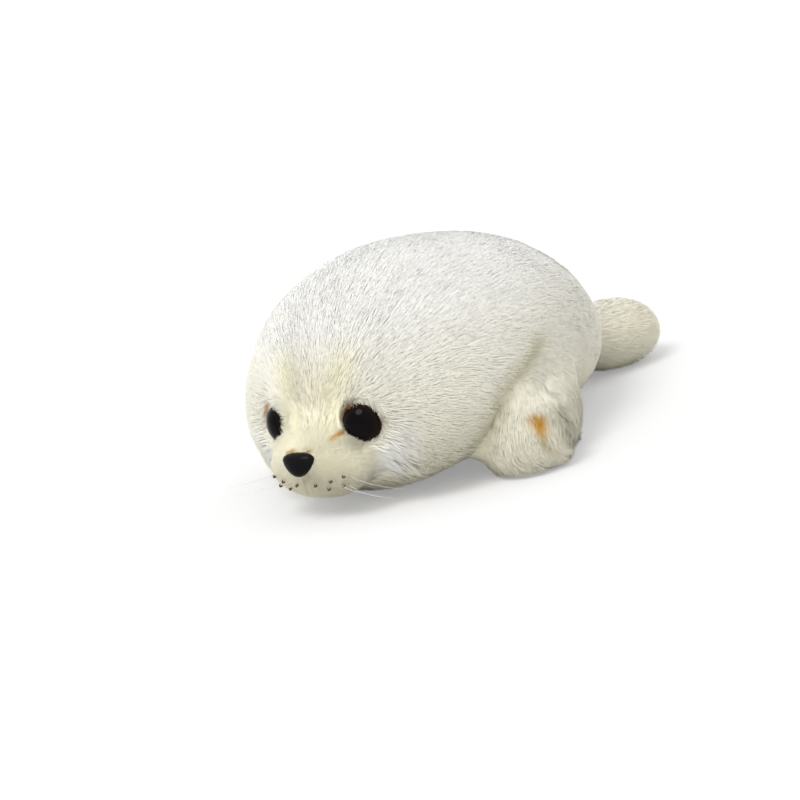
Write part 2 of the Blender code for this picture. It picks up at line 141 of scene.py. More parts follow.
@dataclass(frozen=True)
class Tufts:
    """Splits roots into tufts round the points of a jittered grid.

    Args:
        size: usual width of a tuft, in metres.
        seed: start of the random numbers.
        stretch: how much longer a tuft is along each axis.
    """

    size: float
    seed: int
    stretch: Place = (1.0, 1.0, 1.0)

    def split(self, points: Array) -> Array:
        """The number of each point's tuft, counted from 0."""
        scaled = points / (self.size * np.array(self.stretch))
        cell = np.floor(scaled).astype(np.int64)
        nearest = np.full(len(points), np.inf)
        key = np.zeros(len(points), np.int64)
        for step in product((-1, 0, 1), repeat=3):
            corner = cell + np.array(step)
            mixed = (corner * np.array(CELL_PRIMES)).sum(1) + self.seed * SEED_STEP
            jitter = np.stack([((mixed * prime) >> 7) % 1021 / 1021.0 for prime in AXIS_PRIMES], 1)
            apart = ((scaled - corner - jitter) ** 2).sum(1)
            closer = apart < nearest
            nearest = np.where(closer, apart, nearest)
            key = np.where(closer, mixed, key)
        return np.unique(key, return_inverse=True)[1].ravel()


def tuft_mean(tuft: Array, values: Array) -> Array:
    """The mean of values over each tuft, given back for each strand."""
    count = np.bincount(tuft)
    sums = np.stack([np.bincount(tuft, values[:, axis]) for axis in range(values.shape[1])], 1)
    return (sums / count[:, None])[tuft]


@dataclass(frozen=True)
class Route:
    """A line over the seal through a few places, for seams, creases and marks.

    Args:
        places: points on the line, in metres, on the left or on the middle of the seal.
        steps: points worked out between two places.
        scale: how much distances along each axis count.
        mirrored: whether the line is there on the right too.
    """

    places: tuple[Place, ...]
    steps: int = 8
    scale: Place = (1.0, 1.0, 1.0)
    mirrored: bool = True

    def points(self) -> Array:
        """Points along the line, a straight share of the way from place to place."""
        ends = np.array(self.places)
        share = np.linspace(0.0, 1.0, self.steps, endpoint=False)[None, :, None]
        inner = mix(ends[:-1, None], ends[1:, None], share).reshape(-1, 3)
        return np.vstack([inner, ends[-1:]])

    def nearest(self, points: Array) -> tuple[Array, Array, Array]:
        """How each point lies to the line or to its mirror image.

        Args:
            points: places on the seal.

        Returns:
            The distances, the shares of the line's length, and the nearest places on the line.
        """
        line = self.points()
        scale = np.array(self.scale)
        near, marks = (folded(points) if self.mirrored else points) * scale, line * scale
        best = np.empty(len(points))
        index = np.empty(len(points), int)
        for start in range(0, len(points), 20000):
            part = near[start:start + 20000]
            apart = ((part[:, None] - marks[None]) ** 2).sum(2)
            index[start:start + 20000] = apart.argmin(1)
            best[start:start + 20000] = np.sqrt(apart.min(1))
        return best, index / (len(line) - 1.0), line[index]


# Places on the seal, from the frame

def node_points(node: str) -> Array:
    """The vertices of a CAD node, in the row frame."""
    mesh = frame["nodes"][node].data
    points = np.empty(len(mesh.vertices) * 3)
    mesh.vertices.foreach_get("co", points)
    return points.reshape(-1, 3)


def node_middle(node: str) -> Array:
    """The middle of a CAD node's box."""
    low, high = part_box(node)
    return (np.array(low) + np.array(high)) / 2.0


def node_half(node: str) -> Array:
    """Half of each side of a CAD node's box."""
    low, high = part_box(node)
    return (np.array(high) - np.array(low)) / 2.0


@dataclass(frozen=True)
class Seat:
    """The seat of a turned part: where its rim lies, which way it faces and how big it is.

    Args:
        rim: middle of the rim.
        axis: outward direction.
        radius: radius of the rim.
        rise: height of the dome over the rim.
    """

    rim: Array
    axis: Array
    radius: float
    rise: float

    def lies(self, points: Array) -> Pair:
        """How points of the left half, or their mirror images, lie to the seat.

        Args:
            points: places on the seal.

        Returns:
            Distances from the axis as shares of the radius, and heights over the rim in metres.
        """
        apart = folded(points) - self.rim
        over = apart @ self.axis
        return np.linalg.norm(apart - over[:, None] * self.axis, axis=1) / self.radius, over

    @staticmethod
    def of(node: str, washer: str) -> "Seat":
        """Works the seat out from a part and the locking washer on its shank.

        Args:
            node: name of the domed part.
            washer: name of its washer.

        Returns:
            The part's seat.
        """
        points = node_points(node)
        inner = node_points(washer).mean(0)
        axis = unit(points.mean(0) - inner)
        along = (points - inner) @ axis
        radial = np.linalg.norm(points - inner - along[:, None] * axis, axis=1)
        radius = radial.max()
        level = along[radial > radius * 0.995].mean()
        return Seat(inner + axis * level, axis, float(radius), float(along.max() - level))


# Helpers on objects

def deselect() -> None:
    """Leaves nothing selected."""
    if bpy.context.object and bpy.context.object.mode != "OBJECT":
        bpy.ops.object.mode_set(mode="OBJECT")
    bpy.ops.object.select_all(action="DESELECT")


def activate(piece: bpy.types.Object) -> bpy.types.Object:
    """Makes a piece the only selected one and the active one."""
    deselect()
    piece.select_set(True)
    bpy.context.view_layer.objects.active = piece
    return piece


def link(name: str, mesh: bpy.types.Mesh) -> bpy.types.Object:
    """A new object at the origin with that mesh."""
    piece = bpy.data.objects.new(name, mesh)
    bpy.context.scene.collection.objects.link(piece)
    return piece


def added(name: str) -> bpy.types.Object:
    """Names the primitive that was just added and its mesh."""
    piece = bpy.context.object
    piece.name = name
    piece.data.name = name
    return piece


def apply_modifier(piece: bpy.types.Object, name: str, kind: str, **values: object) -> None:
    """Adds a modifier with those values and applies it.

    Args:
        piece: object that gets it.
        name: modifier's name.
        kind: Blender's word for the modifier.
        values: its settings.
    """
    activate(piece)
    modifier = piece.modifiers.new(name, kind)
    for key, value in values.items():
        setattr(modifier, key, value)
    bpy.ops.object.modifier_apply(modifier=modifier.name)


def get_points(mesh: bpy.types.Mesh) -> Array:
    """The mesh's vertices as rows."""
    points = np.empty(len(mesh.vertices) * 3)
    mesh.vertices.foreach_get("co", points)
    return points.reshape(-1, 3)


def set_points(mesh: bpy.types.Mesh, points: Array) -> None:
    """Moves the mesh's vertices to those rows."""
    mesh.vertices.foreach_set("co", np.ascontiguousarray(points, np.float32).ravel())
    mesh.update()


def get_normals(mesh: bpy.types.Mesh) -> Array:
    """The mesh's vertex normals as rows."""
    normals = np.empty(len(mesh.vertices) * 3, np.float32)
    mesh.vertex_normals.foreach_get("vector", normals)
    return normals.reshape(-1, 3).astype(float)


def finished(piece: bpy.types.Object, slot: str, material: bpy.types.Material) -> bpy.types.Object:
    """Dresses a piece, lets it ride on the body and reports it.

    Args:
        piece: finished object.
        slot: the record's material slot.
        material: its finish.

    Returns:
        The same piece.
    """
    piece.data.materials.clear()
    piece.data.materials.append(material)
    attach(piece, BODY)
    log.info("%s: %d faces", piece.name, len(piece.data.polygons))
    return piece


# Finishes

class Nodes:
    """A material's node tree with short ways to add and join nodes."""

    def __init__(self, name: str) -> None:
        """Starts a material with one Principled shader."""
        self.material = bpy.data.materials.new(name)
        self.material.use_nodes = True
        self.tree = self.material.node_tree
        self.shader = self.tree.nodes["Principled BSDF"]
        self.output = self.tree.nodes["Material Output"]

    def add(self, kind: str, **values: object) -> bpy.types.Node:
        """Adds a node and sets its own properties."""
        node = self.tree.nodes.new(kind)
        for key, value in values.items():
            setattr(node, key, value)
        return node

    def join(self, start: bpy.types.NodeSocket, end: bpy.types.NodeSocket) -> None:
        """Links two sockets."""
        self.tree.links.new(start, end)

    def plain(self, **values: object) -> None:
        """Sets the shader's own sockets, with _ for each space in their names."""
        for key, value in values.items():
            self.shader.inputs[key.replace("_", " ")].default_value = value

    def noise(self, scale: float, detail: float = 3.0) -> bpy.types.NodeSocket:
        """A noise on Object coordinates, of so many cells a metre."""
        where = self.add("ShaderNodeTexCoord")
        noise = self.add("ShaderNodeTexNoise")
        noise.inputs["Scale"].default_value = scale
        noise.inputs["Detail"].default_value = detail
        self.join(where.outputs["Object"], noise.inputs["Vector"])
        return noise.outputs["Fac"]

    def range(self, value: bpy.types.NodeSocket, low: float, high: float) -> bpy.types.NodeSocket:
        """Maps a value of 0.3 to 0.7 to the range from low to high."""
        node = self.add("ShaderNodeMapRange")
        for key, number in (("From Min", 0.3), ("From Max", 0.7), ("To Min", low), ("To Max", high)):
            node.inputs[key].default_value = number
        self.join(value, node.inputs["Value"])
        return node.outputs["Result"]

    def blend(self, first: Colour, second: Colour, share: bpy.types.NodeSocket) -> bpy.types.NodeSocket:
        """A colour from first to second as share goes from 0 to 1."""
        node = self.add("ShaderNodeMix", data_type="RGBA")
        node.inputs["A"].default_value = (*first, 1.0)
        node.inputs["B"].default_value = (*second, 1.0)
        self.join(share, node.inputs["Factor"])
        return node.outputs["Result"]

    def bump(self, height: bpy.types.NodeSocket, strength: float, distance: float) -> None:
        """Roughens the surface by a height."""
        node = self.add("ShaderNodeBump")
        node.inputs["Strength"].default_value = strength
        node.inputs["Distance"].default_value = distance
        self.join(height, node.inputs["Height"])
        self.join(node.outputs["Normal"], self.shader.inputs["Normal"])


TINT = "tint"
REACH = "reach"


@dataclass(frozen=True)
class PileFinish:
    """Plush fibre, whose colour is in the tint attribute of each strand.

    Args:
        name: material's name.
        roughness: the fibres' roughness.
        sheen: the soft light along their edges.
    """

    name: str
    roughness: float
    sheen: float

    def material(self) -> bpy.types.Material:
        """The finish as a material."""
        nodes = Nodes(self.name)
        tint = nodes.add("ShaderNodeAttribute", attribute_name=TINT)
        speckle = nodes.range(nodes.noise(900.0), 0.985, 1.0)
        shade = nodes.add("ShaderNodeVectorMath", operation="SCALE")
        nodes.join(tint.outputs["Color"], shade.inputs[0])
        nodes.join(speckle, shade.inputs["Scale"])
        nodes.join(shade.outputs["Vector"], nodes.shader.inputs["Base Color"])
        nodes.plain(Roughness=self.roughness, Specular_IOR_Level=0.15)
        nodes.plain(Sheen_Weight=self.sheen, Sheen_Roughness=0.6)
        return nodes.material


@dataclass(frozen=True)
class BackingFinish:
    """The knitted backing of the plush, seen only between the strands."""

    name: str
    stitch: float

    def material(self) -> bpy.types.Material:
        """The finish as a material."""
        nodes = Nodes(self.name)
        tint = nodes.add("ShaderNodeAttribute", attribute_name=TINT)
        nodes.join(tint.outputs["Color"], nodes.shader.inputs["Base Color"])
        knit = nodes.noise(1.0 / self.stitch, 2.0)
        nodes.bump(knit, 0.6, self.stitch / 3.0)
        nodes.join(nodes.range(knit, 0.8, 0.98), nodes.shader.inputs["Roughness"])
        return nodes.material


@dataclass(frozen=True)
class GlossFinish:
    """Moulded plastic with a clear gloss, a little paler towards its rim.

    Args:
        name: material's name.
        middle: colour of the middle.
        rim: colour of the rim.
        roughness: lowest and highest roughness.
        coat: weight of the clear coat.
        specular: how strongly the plastic under it reflects.
    """

    name: str
    middle: Colour
    rim: Colour
    roughness: tuple[float, float]
    coat: float
    specular: float

    def material(self) -> bpy.types.Material:
        """The finish as a material."""
        nodes = Nodes(self.name)
        reach = nodes.add("ShaderNodeAttribute", attribute_name=REACH)
        edge = nodes.add("ShaderNodeMapRange", interpolation_type="SMOOTHSTEP")
        edge.inputs["From Min"].default_value = 0.62
        edge.inputs["From Max"].default_value = 0.98
        nodes.join(reach.outputs["Fac"], edge.inputs["Value"])
        colour = nodes.blend(self.middle, self.rim, edge.outputs["Result"])
        nodes.join(colour, nodes.shader.inputs["Base Color"])
        smear = nodes.range(nodes.noise(260.0), *self.roughness)
        nodes.join(smear, nodes.shader.inputs["Roughness"])
        nodes.plain(Coat_Weight=self.coat, Coat_Roughness=0.04, Specular_IOR_Level=self.specular)
        return nodes.material


@dataclass(frozen=True)
class MouldedFinish:
    """Plain moulded plastic with a fine grain."""

    name: str
    colour: Colour
    worn: Colour
    roughness: tuple[float, float]

    def material(self) -> bpy.types.Material:
        """The finish as a material."""
        nodes = Nodes(self.name)
        grain = nodes.noise(700.0)
        nodes.join(nodes.blend(self.colour, self.worn, grain), nodes.shader.inputs["Base Color"])
        nodes.join(nodes.range(grain, *self.roughness), nodes.shader.inputs["Roughness"])
        nodes.bump(grain, 0.25, 0.0001)
        return nodes.material


@dataclass(frozen=True)
class ThreadFinish:
    """Twisted sewing thread."""

    name: str
    colour: Colour
    shade: Colour

    def material(self) -> bpy.types.Material:
        """The finish as a material."""
        nodes = Nodes(self.name)
        twist = nodes.noise(2600.0, 1.0)
        nodes.join(nodes.blend(self.shade, self.colour, twist), nodes.shader.inputs["Base Color"])
        nodes.bump(twist, 0.5, 0.00008)
        nodes.join(nodes.range(twist, 0.55, 0.8), nodes.shader.inputs["Roughness"])
        return nodes.material


@dataclass(frozen=True)
class NylonFinish:
    """Clear nylon filament, milky along its length."""

    name: str
    colour: Colour
    clearness: float

    def material(self) -> bpy.types.Material:
        """The finish as a material."""
        nodes = Nodes(self.name)
        milk = nodes.noise(500.0)
        pale = tuple(min(1.0, part * 1.08) for part in self.colour)
        nodes.join(nodes.blend(self.colour, pale, milk), nodes.shader.inputs["Base Color"])
        nodes.join(nodes.range(milk, 0.12, 0.25), nodes.shader.inputs["Roughness"])
        nodes.plain(Transmission_Weight=self.clearness, IOR=1.53)
        return nodes.material


# The pile: how it lies over the seal

WHITE: Colour = (0.985, 0.980, 0.950)
CREAM: Colour = (0.975, 0.935, 0.735)
SIDE: Colour = (0.980, 0.960, 0.845)
LOW: Colour = (0.970, 0.935, 0.765)
YELLOW: Colour = (0.965, 0.930, 0.690)
MUZZLE: Colour = (0.915, 0.875, 0.685)
OLIVE: Colour = (0.68, 0.64, 0.44)
FOLDED: Colour = (0.60, 0.48, 0.24)
TAN: Colour = (0.46, 0.29, 0.08)
RUST: Colour = (0.42, 0.19, 0.03)
ORANGE: Colour = (0.74, 0.38, 0.04)
ROOT_SHADE: Colour = (0.97, 0.955, 0.91)
TIP_SHOWS = 0.85
ROOT_SHOWS = 0.50


@dataclass(frozen=True)
class Mark:
    """A stain or tint of the pile along a route.

    Args:
        route: where it runs.
        width: how far it reaches to each side.
        colour: its colour.
        strength: how much of the colour shows in the middle.
        side: 1 for the left alone, -1 for the right alone and 0 for both.
        pull: how deep it draws the cover in, in metres.
    """

    route: Route
    width: float
    colour: Colour
    strength: float
    side: float = 0.0
    pull: float = 0.0

    def share(self, points: Array) -> Array:
        """How much of the mark each point takes."""
        apart = self.route.nearest(points)[0]
        return self.strength * np.exp(-((apart / self.width) ** 2)) * (points[:, 0] * self.side >= 0.0)


@dataclass
class Lie:
    """What the pile does at each of many roots.

    Args:
        height: how far it stands over the backing, in metres.
        lift: angle between fibre and backing, in radians.
        along: direction on the backing in which the fibres lie.
        clump: how much the fibres of a tuft draw together, from 0 to 1.
        tip: colour of the fibres' tips.
        root: colour of their roots.
        density: strands a square metre.
    """

    height: Array
    lift: Array
    along: Array
    clump: Array
    tip: Array
    root: Array
    density: Array


def tangent(direction: Array, normals: Array) -> Array:
    """A direction laid flat on the surface."""
    return unit(direction - dots(direction, normals) * normals)


def strand_places(points: Array, normals: Array, along: Array, lift: Array, height: Array) -> Pair:
    """Where each strand shows near its tip, and where its lower part does.

    Args:
        points: the roots.
        normals: the backing's normals there.
        along: the way the strands lie.
        lift: angle between strand and backing.
        height: how far the pile stands over the backing.

    Returns:
        The two places of each strand.
    """
    reach = along * np.cos(lift)[:, None] + normals * np.sin(lift)[:, None]
    reach = reach * (height / np.sin(lift))[:, None]
    return points + reach * TIP_SHOWS, points + reach * ROOT_SHOWS


def marked(marks: "tuple[Mark, ...]", ends: Pair, tip: Array, root: Array) -> Pair:
    """Colours of tips and roots with the marks laid over them.

    Args:
        marks: the marks, in order.
        ends: where the tips and the roots' ends show.
        tip: the tips' colours.
        root: the roots' colours.

    Returns:
        Both colours with the marks.
    """
    for mark in marks:
        tip = mix(tip, np.array(mark.colour), mark.share(ends[0])[:, None])
        root = mix(root, np.array(mark.colour), mark.share(ends[1])[:, None])
    return tip, root


@dataclass(frozen=True)
class HeadMap:
    """The pile over head and trunk: short on the muzzle and forehead, long on cheeks, sides and back."""

    muzzle: Array = field(default_factory=lambda: node_middle("muzzle"))
    muzzle_half: Array = field(default_factory=lambda: node_half("muzzle"))
    eye: Seat = field(default_factory=lambda: Seat.of("eye_left", "eye_washer_left"))
    nose: Array = field(default_factory=lambda: node_middle("nose"))
    nose_half: Array = field(default_factory=lambda: node_half("nose"))
    brow_seam: Route = Route((
        (0.014, -0.130, 0.044), (0.014, -0.129, 0.054), (0.015, -0.128, 0.063), (0.020, -0.122, 0.074),
        (0.024, -0.113, 0.088), (0.025, -0.097, 0.103), (0.022, -0.076, 0.113), (0.014, -0.055, 0.118),
    ))
    muzzle_seam: Route = Route((
        (0.017, -0.131, 0.042), (0.025, -0.126, 0.038), (0.031, -0.128, 0.029), (0.032, -0.127, 0.022),
        (0.026, -0.121, 0.014), (0.015, -0.116, 0.009),
    ))
    long_height: float = 0.0017
    brow_height: float = 0.0017
    muzzle_height: float = 0.0012
    eye_height: float = 0.0022
    long_lift: float = math.radians(10.5)
    brow_lift: float = math.radians(11.5)
    short_lift: float = math.radians(26.0)
    long_density: float = 1.9e6
    short_density: float = 5.6e6
    brow_depth: float = 0.0028
    crown_depth: float = 0.0006
    muzzle_depth: float = 0.0014
    mouth_depth: float = 0.0006
    rim_lift: float = math.radians(46.0)
    corner_lift: float = math.radians(74.0)
    corner_longer: float = 0.0032
    hanging_lift: float = math.radians(20.0)
    hanging_height: float = 0.0019
    cheek_lift: float = math.radians(24.0)
    cheek_longer: float = 0.0026
    cheek_reach: float = 0.0095

    def on_muzzle(self, points: Array) -> Array:
        """1 on the muzzle and 0 away from it."""
        reach = np.linalg.norm((points - self.muzzle) / self.muzzle_half, axis=1)
        return 1.0 - ease(1.06, 1.30, reach)

    def on_brow(self, points: Array) -> Array:
        """1 on the panel between the two seams of the forehead, fading over the crown."""
        place = self.brow_seam.nearest(points)[2]
        inside = ease(-0.005, 0.007, place[:, 0] - np.abs(points[:, 0]))
        return inside * ease(0.030, 0.040, points[:, 2]) * (1.0 - ease(-0.122, -0.075, points[:, 1]))

    def round_eye(self, points: Array, reach: float) -> Array:
        """1 at the eye's rim and 0 at reach metres outside it."""
        share, over = self.eye.lies(points)
        return (1.0 - ease(0.0, reach, (share - 1.0) * self.eye.radius)) * (over > -0.010)

    def inner_corner(self, points: Array) -> Array:
        """1 at the eye's rim on the side of the nose, where the fur stands up."""
        across = ease(self.eye.rim[0] + 0.001, self.eye.rim[0] - 0.004, np.abs(points[:, 0]))
        return across * self.round_eye(points, 0.006)

    def over_eye(self, points: Array) -> Array:
        """1 at the eye's upper rim, where the fur hangs over it."""
        above = ease(0.001, 0.006, points[:, 2] - self.eye.rim[2]) * self.round_eye(points, 0.0045)
        return above * ease(self.eye.rim[0] - 0.006, self.eye.rim[0] + 0.001, np.abs(points[:, 0]))

    def cheeks(self, points: Array) -> Array:
        """1 in the middle of each cheek, where the locks are longer."""
        apart = np.linalg.norm(folded(points) - np.array(CHEEK), axis=1)
        return np.exp(-((apart / self.cheek_reach) ** 2))

    def height(self, points: Array) -> Array:
        """How far the pile stands over the backing."""
        height = np.full(len(points), self.long_height)
        height *= 1.0 + 0.06 * Waves(0.045, 11, (1.0, 1.0, 2.0)).at(points)
        height = mix(height, self.brow_height, self.on_brow(points))
        height = mix(height, self.eye_height, self.round_eye(points, 0.011))
        return mix(height, self.muzzle_height, self.on_muzzle(points))

    def valley(self, points: Array) -> Array:
        """How deep the seams pull the cover in."""
        apart, share = self.brow_seam.nearest(points)[:2]
        depth = mix(self.brow_depth, self.crown_depth, ease(0.0, 0.6, share)) * (1.0 - ease(0.7, 1.0, share))
        pulled = depth * np.exp(-((apart / 0.0060) ** 2))
        apart = self.muzzle_seam.nearest(points)[0]
        pulled += self.muzzle_depth * np.exp(-((apart / 0.0045) ** 2))
        apart = MOUTH.nearest(points)[0]
        return pulled + self.mouth_depth * np.exp(-((apart / 0.0018) ** 2))

    def with_sockets(self, points: Array) -> Array:
        """Points of the cover pressed in under both eyes, so that the eyes stand in sockets."""
        share, over = self.eye.lies(points)
        floor = mix(-0.0012, 0.0060, ease(0.94, 1.14, share))
        sunk = np.where((over > -0.015) & (share < 1.14), np.minimum(over, floor), over)
        turned = self.eye.axis * mirror(points)
        return points + turned * (sunk - over)[:, None]

    def bare(self, points: Array) -> Array:
        """True where no pile grows: under the eyes and the nose."""
        share, over = self.eye.lies(points)
        eye = (share < 0.97) & (over > -0.010)
        ahead = np.abs(points - self.nose) / self.nose_half
        nose = (ahead[:, 0] < 0.70 - 0.3 * ease(0.3, -1.0, (points[:, 2] - self.nose[2]) / self.nose_half[2]))
        return eye | (nose & (ahead[:, 2] < 0.72) & (points[:, 1] < self.nose[1] + 0.012))

    def lie(self, points: Array, normals: Array) -> Lie:
        """The pile at each root.

        Args:
            points: the roots.
            normals: the backing's normals there.

        Returns:
            What the pile does there.
        """
        muzzle, brow = self.on_muzzle(points), self.on_brow(points)
        short = np.maximum(muzzle, brow)
        outward = points - (self.nose + np.array((0.0, 0.004, -0.002)))
        sag = ease(0.12, 0.03, points[:, 2]) * (1.0 - short)
        outward = unit(outward) + np.array((0.0, 0.0, -0.55)) * sag[:, None]
        rear = ease(-0.04, 0.05, points[:, 1])
        drift = Waves(0.034, 23, (1.0, 1.0, 1.6)).at(points) * mix(mix(0.14, 0.34, rear), 0.08, short)
        along = tangent(outward, normals)
        along = unit(along + np.cross(normals, along) * drift[:, None])
        ripple = Waves(0.016, 31, (1.0, 1.0, 3.0)).at(points) * mix(mix(0.04, 0.12, rear), 0.02, short)
        lift = mix(mix(self.long_lift, self.brow_lift, brow), self.short_lift, muzzle) * (1.0 + ripple)
        clump = mix(mix(0.10, 0.34, rear), 0.05, short)
        density = mix(self.long_density, self.short_density, np.maximum(muzzle, 0.15 * brow))
        density *= 1.0 - 0.7 * ease(-0.35, -0.85, normals[:, 2]) * (1.0 - muzzle)
        inner, hanging = self.inner_corner(points), self.over_eye(points)
        cheek = self.cheeks(points) * (1.0 - muzzle)
        rim = self.round_eye(points, 0.004)
        lift = mix(lift, self.rim_lift, rim * (1.0 - inner))
        lift = mix(lift, self.corner_lift, inner)
        lift = mix(lift, self.cheek_lift, cheek)
        clump = mix(clump, 0.75, cheek)
        height = self.height(points) + 0.0008 * rim + self.corner_longer * inner + self.cheek_longer * cheek
        inward = tangent(self.eye.rim - folded(points), normals * mirror(points)) * mirror(points)
        along = tangent(mix(along, inward, hanging[:, None]), normals)
        lift = mix(lift, self.hanging_lift, hanging)
        height = mix(height, self.hanging_height, hanging)
        density *= 1.0 + 3.0 * inner + 2.0 * hanging
        ends = strand_places(points, normals, along, lift, height)
        tip, root = self.colours(ends, muzzle, brow)
        return Lie(height, lift, along, clump, tip, root, density)

    def colours(self, ends: Pair, muzzle: Array, brow: Array) -> Pair:
        """Colours of tips and roots.

        Args:
            ends: where the tips and the roots' ends show.
            muzzle: share of the muzzle at each.
            brow: share of the forehead's panel at each.

        Returns:
            The tips' colours and the roots' colours.
        """
        points = ends[0]
        front = 1.0 - 0.6 * ease(0.0, 0.08, points[:, 1])
        side = ease(0.108, 0.055, points[:, 2]) * front
        low = ease(0.060, 0.018, points[:, 2]) * front
        warm = brow * ease(0.095, 0.060, points[:, 2])
        tip = mix(np.array(WHITE), np.array(SIDE), side[:, None])
        tip = mix(tip, np.array(LOW), low[:, None])
        tip = mix(tip, np.array(CREAM), warm[:, None])
        tip = mix(tip, np.array(MUZZLE), muzzle[:, None])
        tip = tip * (1.0 - 0.05 * ease(-0.02, 0.06, points[:, 1]))[:, None]
        root = tip * np.array(ROOT_SHADE)
        return marked(FACE_MARKS, ends, tip, root)


MOUTH = Route((
    (0.0, -0.1447, 0.0240), (-0.0015, -0.1440, 0.0205),
    (-0.0035, -0.1425, 0.0170), (-0.0045, -0.1395, 0.0135),
), mirrored=False)
CHEEK: Place = (0.040, -0.120, 0.024)
FLAT_FACE: Place = (1.0, 0.3, 1.0)
FLAT_SIDE: Place = (0.35, 1.0, 1.0)


def on_face(*places: Place) -> Route:
    """A route over the face, on which depth counts little."""
    return Route(places, 8, FLAT_FACE)


def on_side(*places: Place) -> Route:
    """A route over a flipper's outer side, on which its distance from the middle counts little."""
    return Route(places, 8, FLAT_SIDE)


FACE_MARKS = (
    Mark(on_face((0.014, -0.130, 0.050), (0.015, -0.128, 0.063), (0.020, -0.122, 0.074)),
         0.0085, YELLOW, 0.80),
    Mark(on_face((0.0245, -0.128, 0.0565), (0.0220, -0.1275, 0.0545), (0.0208, -0.129, 0.0515)),
         0.0016, RUST, 1.0, 1.0),
    Mark(on_face((0.0195, -0.130, 0.0445), (0.0165, -0.1305, 0.0435)), 0.0014, RUST, 0.9, 1.0),
    Mark(on_face((0.0165, -0.130, 0.0435), (0.0135, -0.1305, 0.0420)), 0.0013, ORANGE, 0.8, 1.0),
    Mark(on_face((0.0358, -0.1262, 0.0560), (0.0378, -0.125, 0.0520), (0.0380, -0.1248, 0.0485)),
         0.0021, RUST, 1.0, -1.0),
    Mark(on_face((0.0, -0.1440, 0.0388), (0.0065, -0.1430, 0.0386)), 0.0011, TAN, 0.60),
    Mark(on_face((0.0060, -0.1430, 0.0386), (0.0108, -0.1430, 0.0372)), 0.0013, TAN, 0.95, -1.0),
    Mark(MOUTH, 0.0010, TAN, 0.60),
    Mark(Route((CHEEK, (0.046, -0.114, 0.038))), 0.0100, WHITE, 0.85),
)


@dataclass(frozen=True)
class LimbMap:
    """The pile over a flipper, lying away from where the flipper is sewn on.

    Args:
        origin: place on the left from which the pile lies away.
        height_over: how far it stands over the backing.
        marks: tints on it.
        density_over: strands a square metre.
    """

    origin: Place
    height_over: float
    marks: tuple[Mark, ...]
    density_over: float

    def height(self, points: Array) -> Array:
        """How far the pile stands over the backing."""
        return np.full(len(points), self.height_over) * (1.0 + 0.06 * Waves(0.02, 41).at(points))

    def valley(self, points: Array) -> Array:
        """How deep the creases pull the cover in."""
        pulled = np.zeros(len(points))
        for mark in self.marks:
            pulled += mark.pull * np.exp(-((mark.route.nearest(points)[0] / 0.0042) ** 2))
        return pulled

    def bare(self, points: Array) -> Array:
        """Nowhere is bare."""
        return np.zeros(len(points), bool)

    def lie(self, points: Array, normals: Array) -> Lie:
        """The pile at each root.

        Args:
            points: the roots.
            normals: the backing's normals there.

        Returns:
            What the pile does there.
        """
        start = np.array(self.origin) * mirror(points)
        along = tangent(unit(points - start), normals)
        drift = Waves(0.024, 47).at(points) * 0.12
        along = unit(along + np.cross(normals, along) * drift[:, None])
        lift = math.radians(10.5) * (1.0 + 0.04 * Waves(0.014, 53).at(points))
        height = self.height(points)
        low = ease(0.060, 0.020, points[:, 2])[:, None]
        tip = mix(np.array(SIDE), np.array(LOW), low)
        root = tip * np.array(ROOT_SHADE)
        tip, root = marked(self.marks, strand_places(points, normals, along, lift, height), tip, root)
        density = self.density_over * (1.0 - 0.7 * ease(-0.35, -0.85, normals[:, 2]))
        return Lie(height, lift, along, np.full(len(points), 0.10), tip, root, density)


@dataclass(frozen=True)
class SewnOn:
    """The pile over the body with the front flippers sewn on, which runs on from one to the other.

    Args:
        body: the pile over head and trunk.
        limb: the pile over the flippers.
        node: CAD node of the left flipper.
    """

    body: HeadMap
    limb: LimbMap
    node: str

    def on_limb(self, points: Array) -> Array:
        """1 on a front flipper and 0 on the body."""
        reach = np.linalg.norm((folded(points) - node_middle(self.node)) / node_half(self.node), axis=1)
        return 1.0 - ease(0.92, 1.12, reach)

    def height(self, points: Array) -> Array:
        """How far the pile stands over the backing."""
        return mix(self.body.height(points), self.limb.height(points), self.on_limb(points))

    def valley(self, points: Array) -> Array:
        """How deep the seams and creases pull the cover in."""
        apart, share = ARMPIT.nearest(points)[:2]
        depth = mix(0.0012, 0.0040, ease(0.0, 0.5, share)) * (1.0 - 0.9 * ease(0.62, 0.92, share))
        between = depth * np.exp(-((apart / 0.0048) ** 2))
        return self.body.valley(points) + self.limb.valley(points) + between

    def with_sockets(self, points: Array) -> Array:
        """Points of the cover pressed in under both eyes."""
        return self.body.with_sockets(points)

    def bare(self, points: Array) -> Array:
        """True where no pile grows."""
        return self.body.bare(points)

    def lie(self, points: Array, normals: Array) -> Lie:
        """The pile at each root.

        Args:
            points: the roots.
            normals: the backing's normals there.

        Returns:
            What the pile does there.
        """
        share = self.on_limb(points)
        first, second = self.body.lie(points, normals), self.limb.lie(points, normals)
        blended = {}
        for key, value in vars(first).items():
            part = share[:, None] if value.ndim > 1 else share
            blended[key] = mix(value, getattr(second, key), part)
        blended["along"] = tangent(blended["along"], normals)
        ends = strand_places(points, normals, blended["along"], blended["lift"], blended["height"])
        blended["tip"], blended["root"] = marked(SEAM_MARKS, ends, blended["tip"], blended["root"])
        return Lie(**blended)


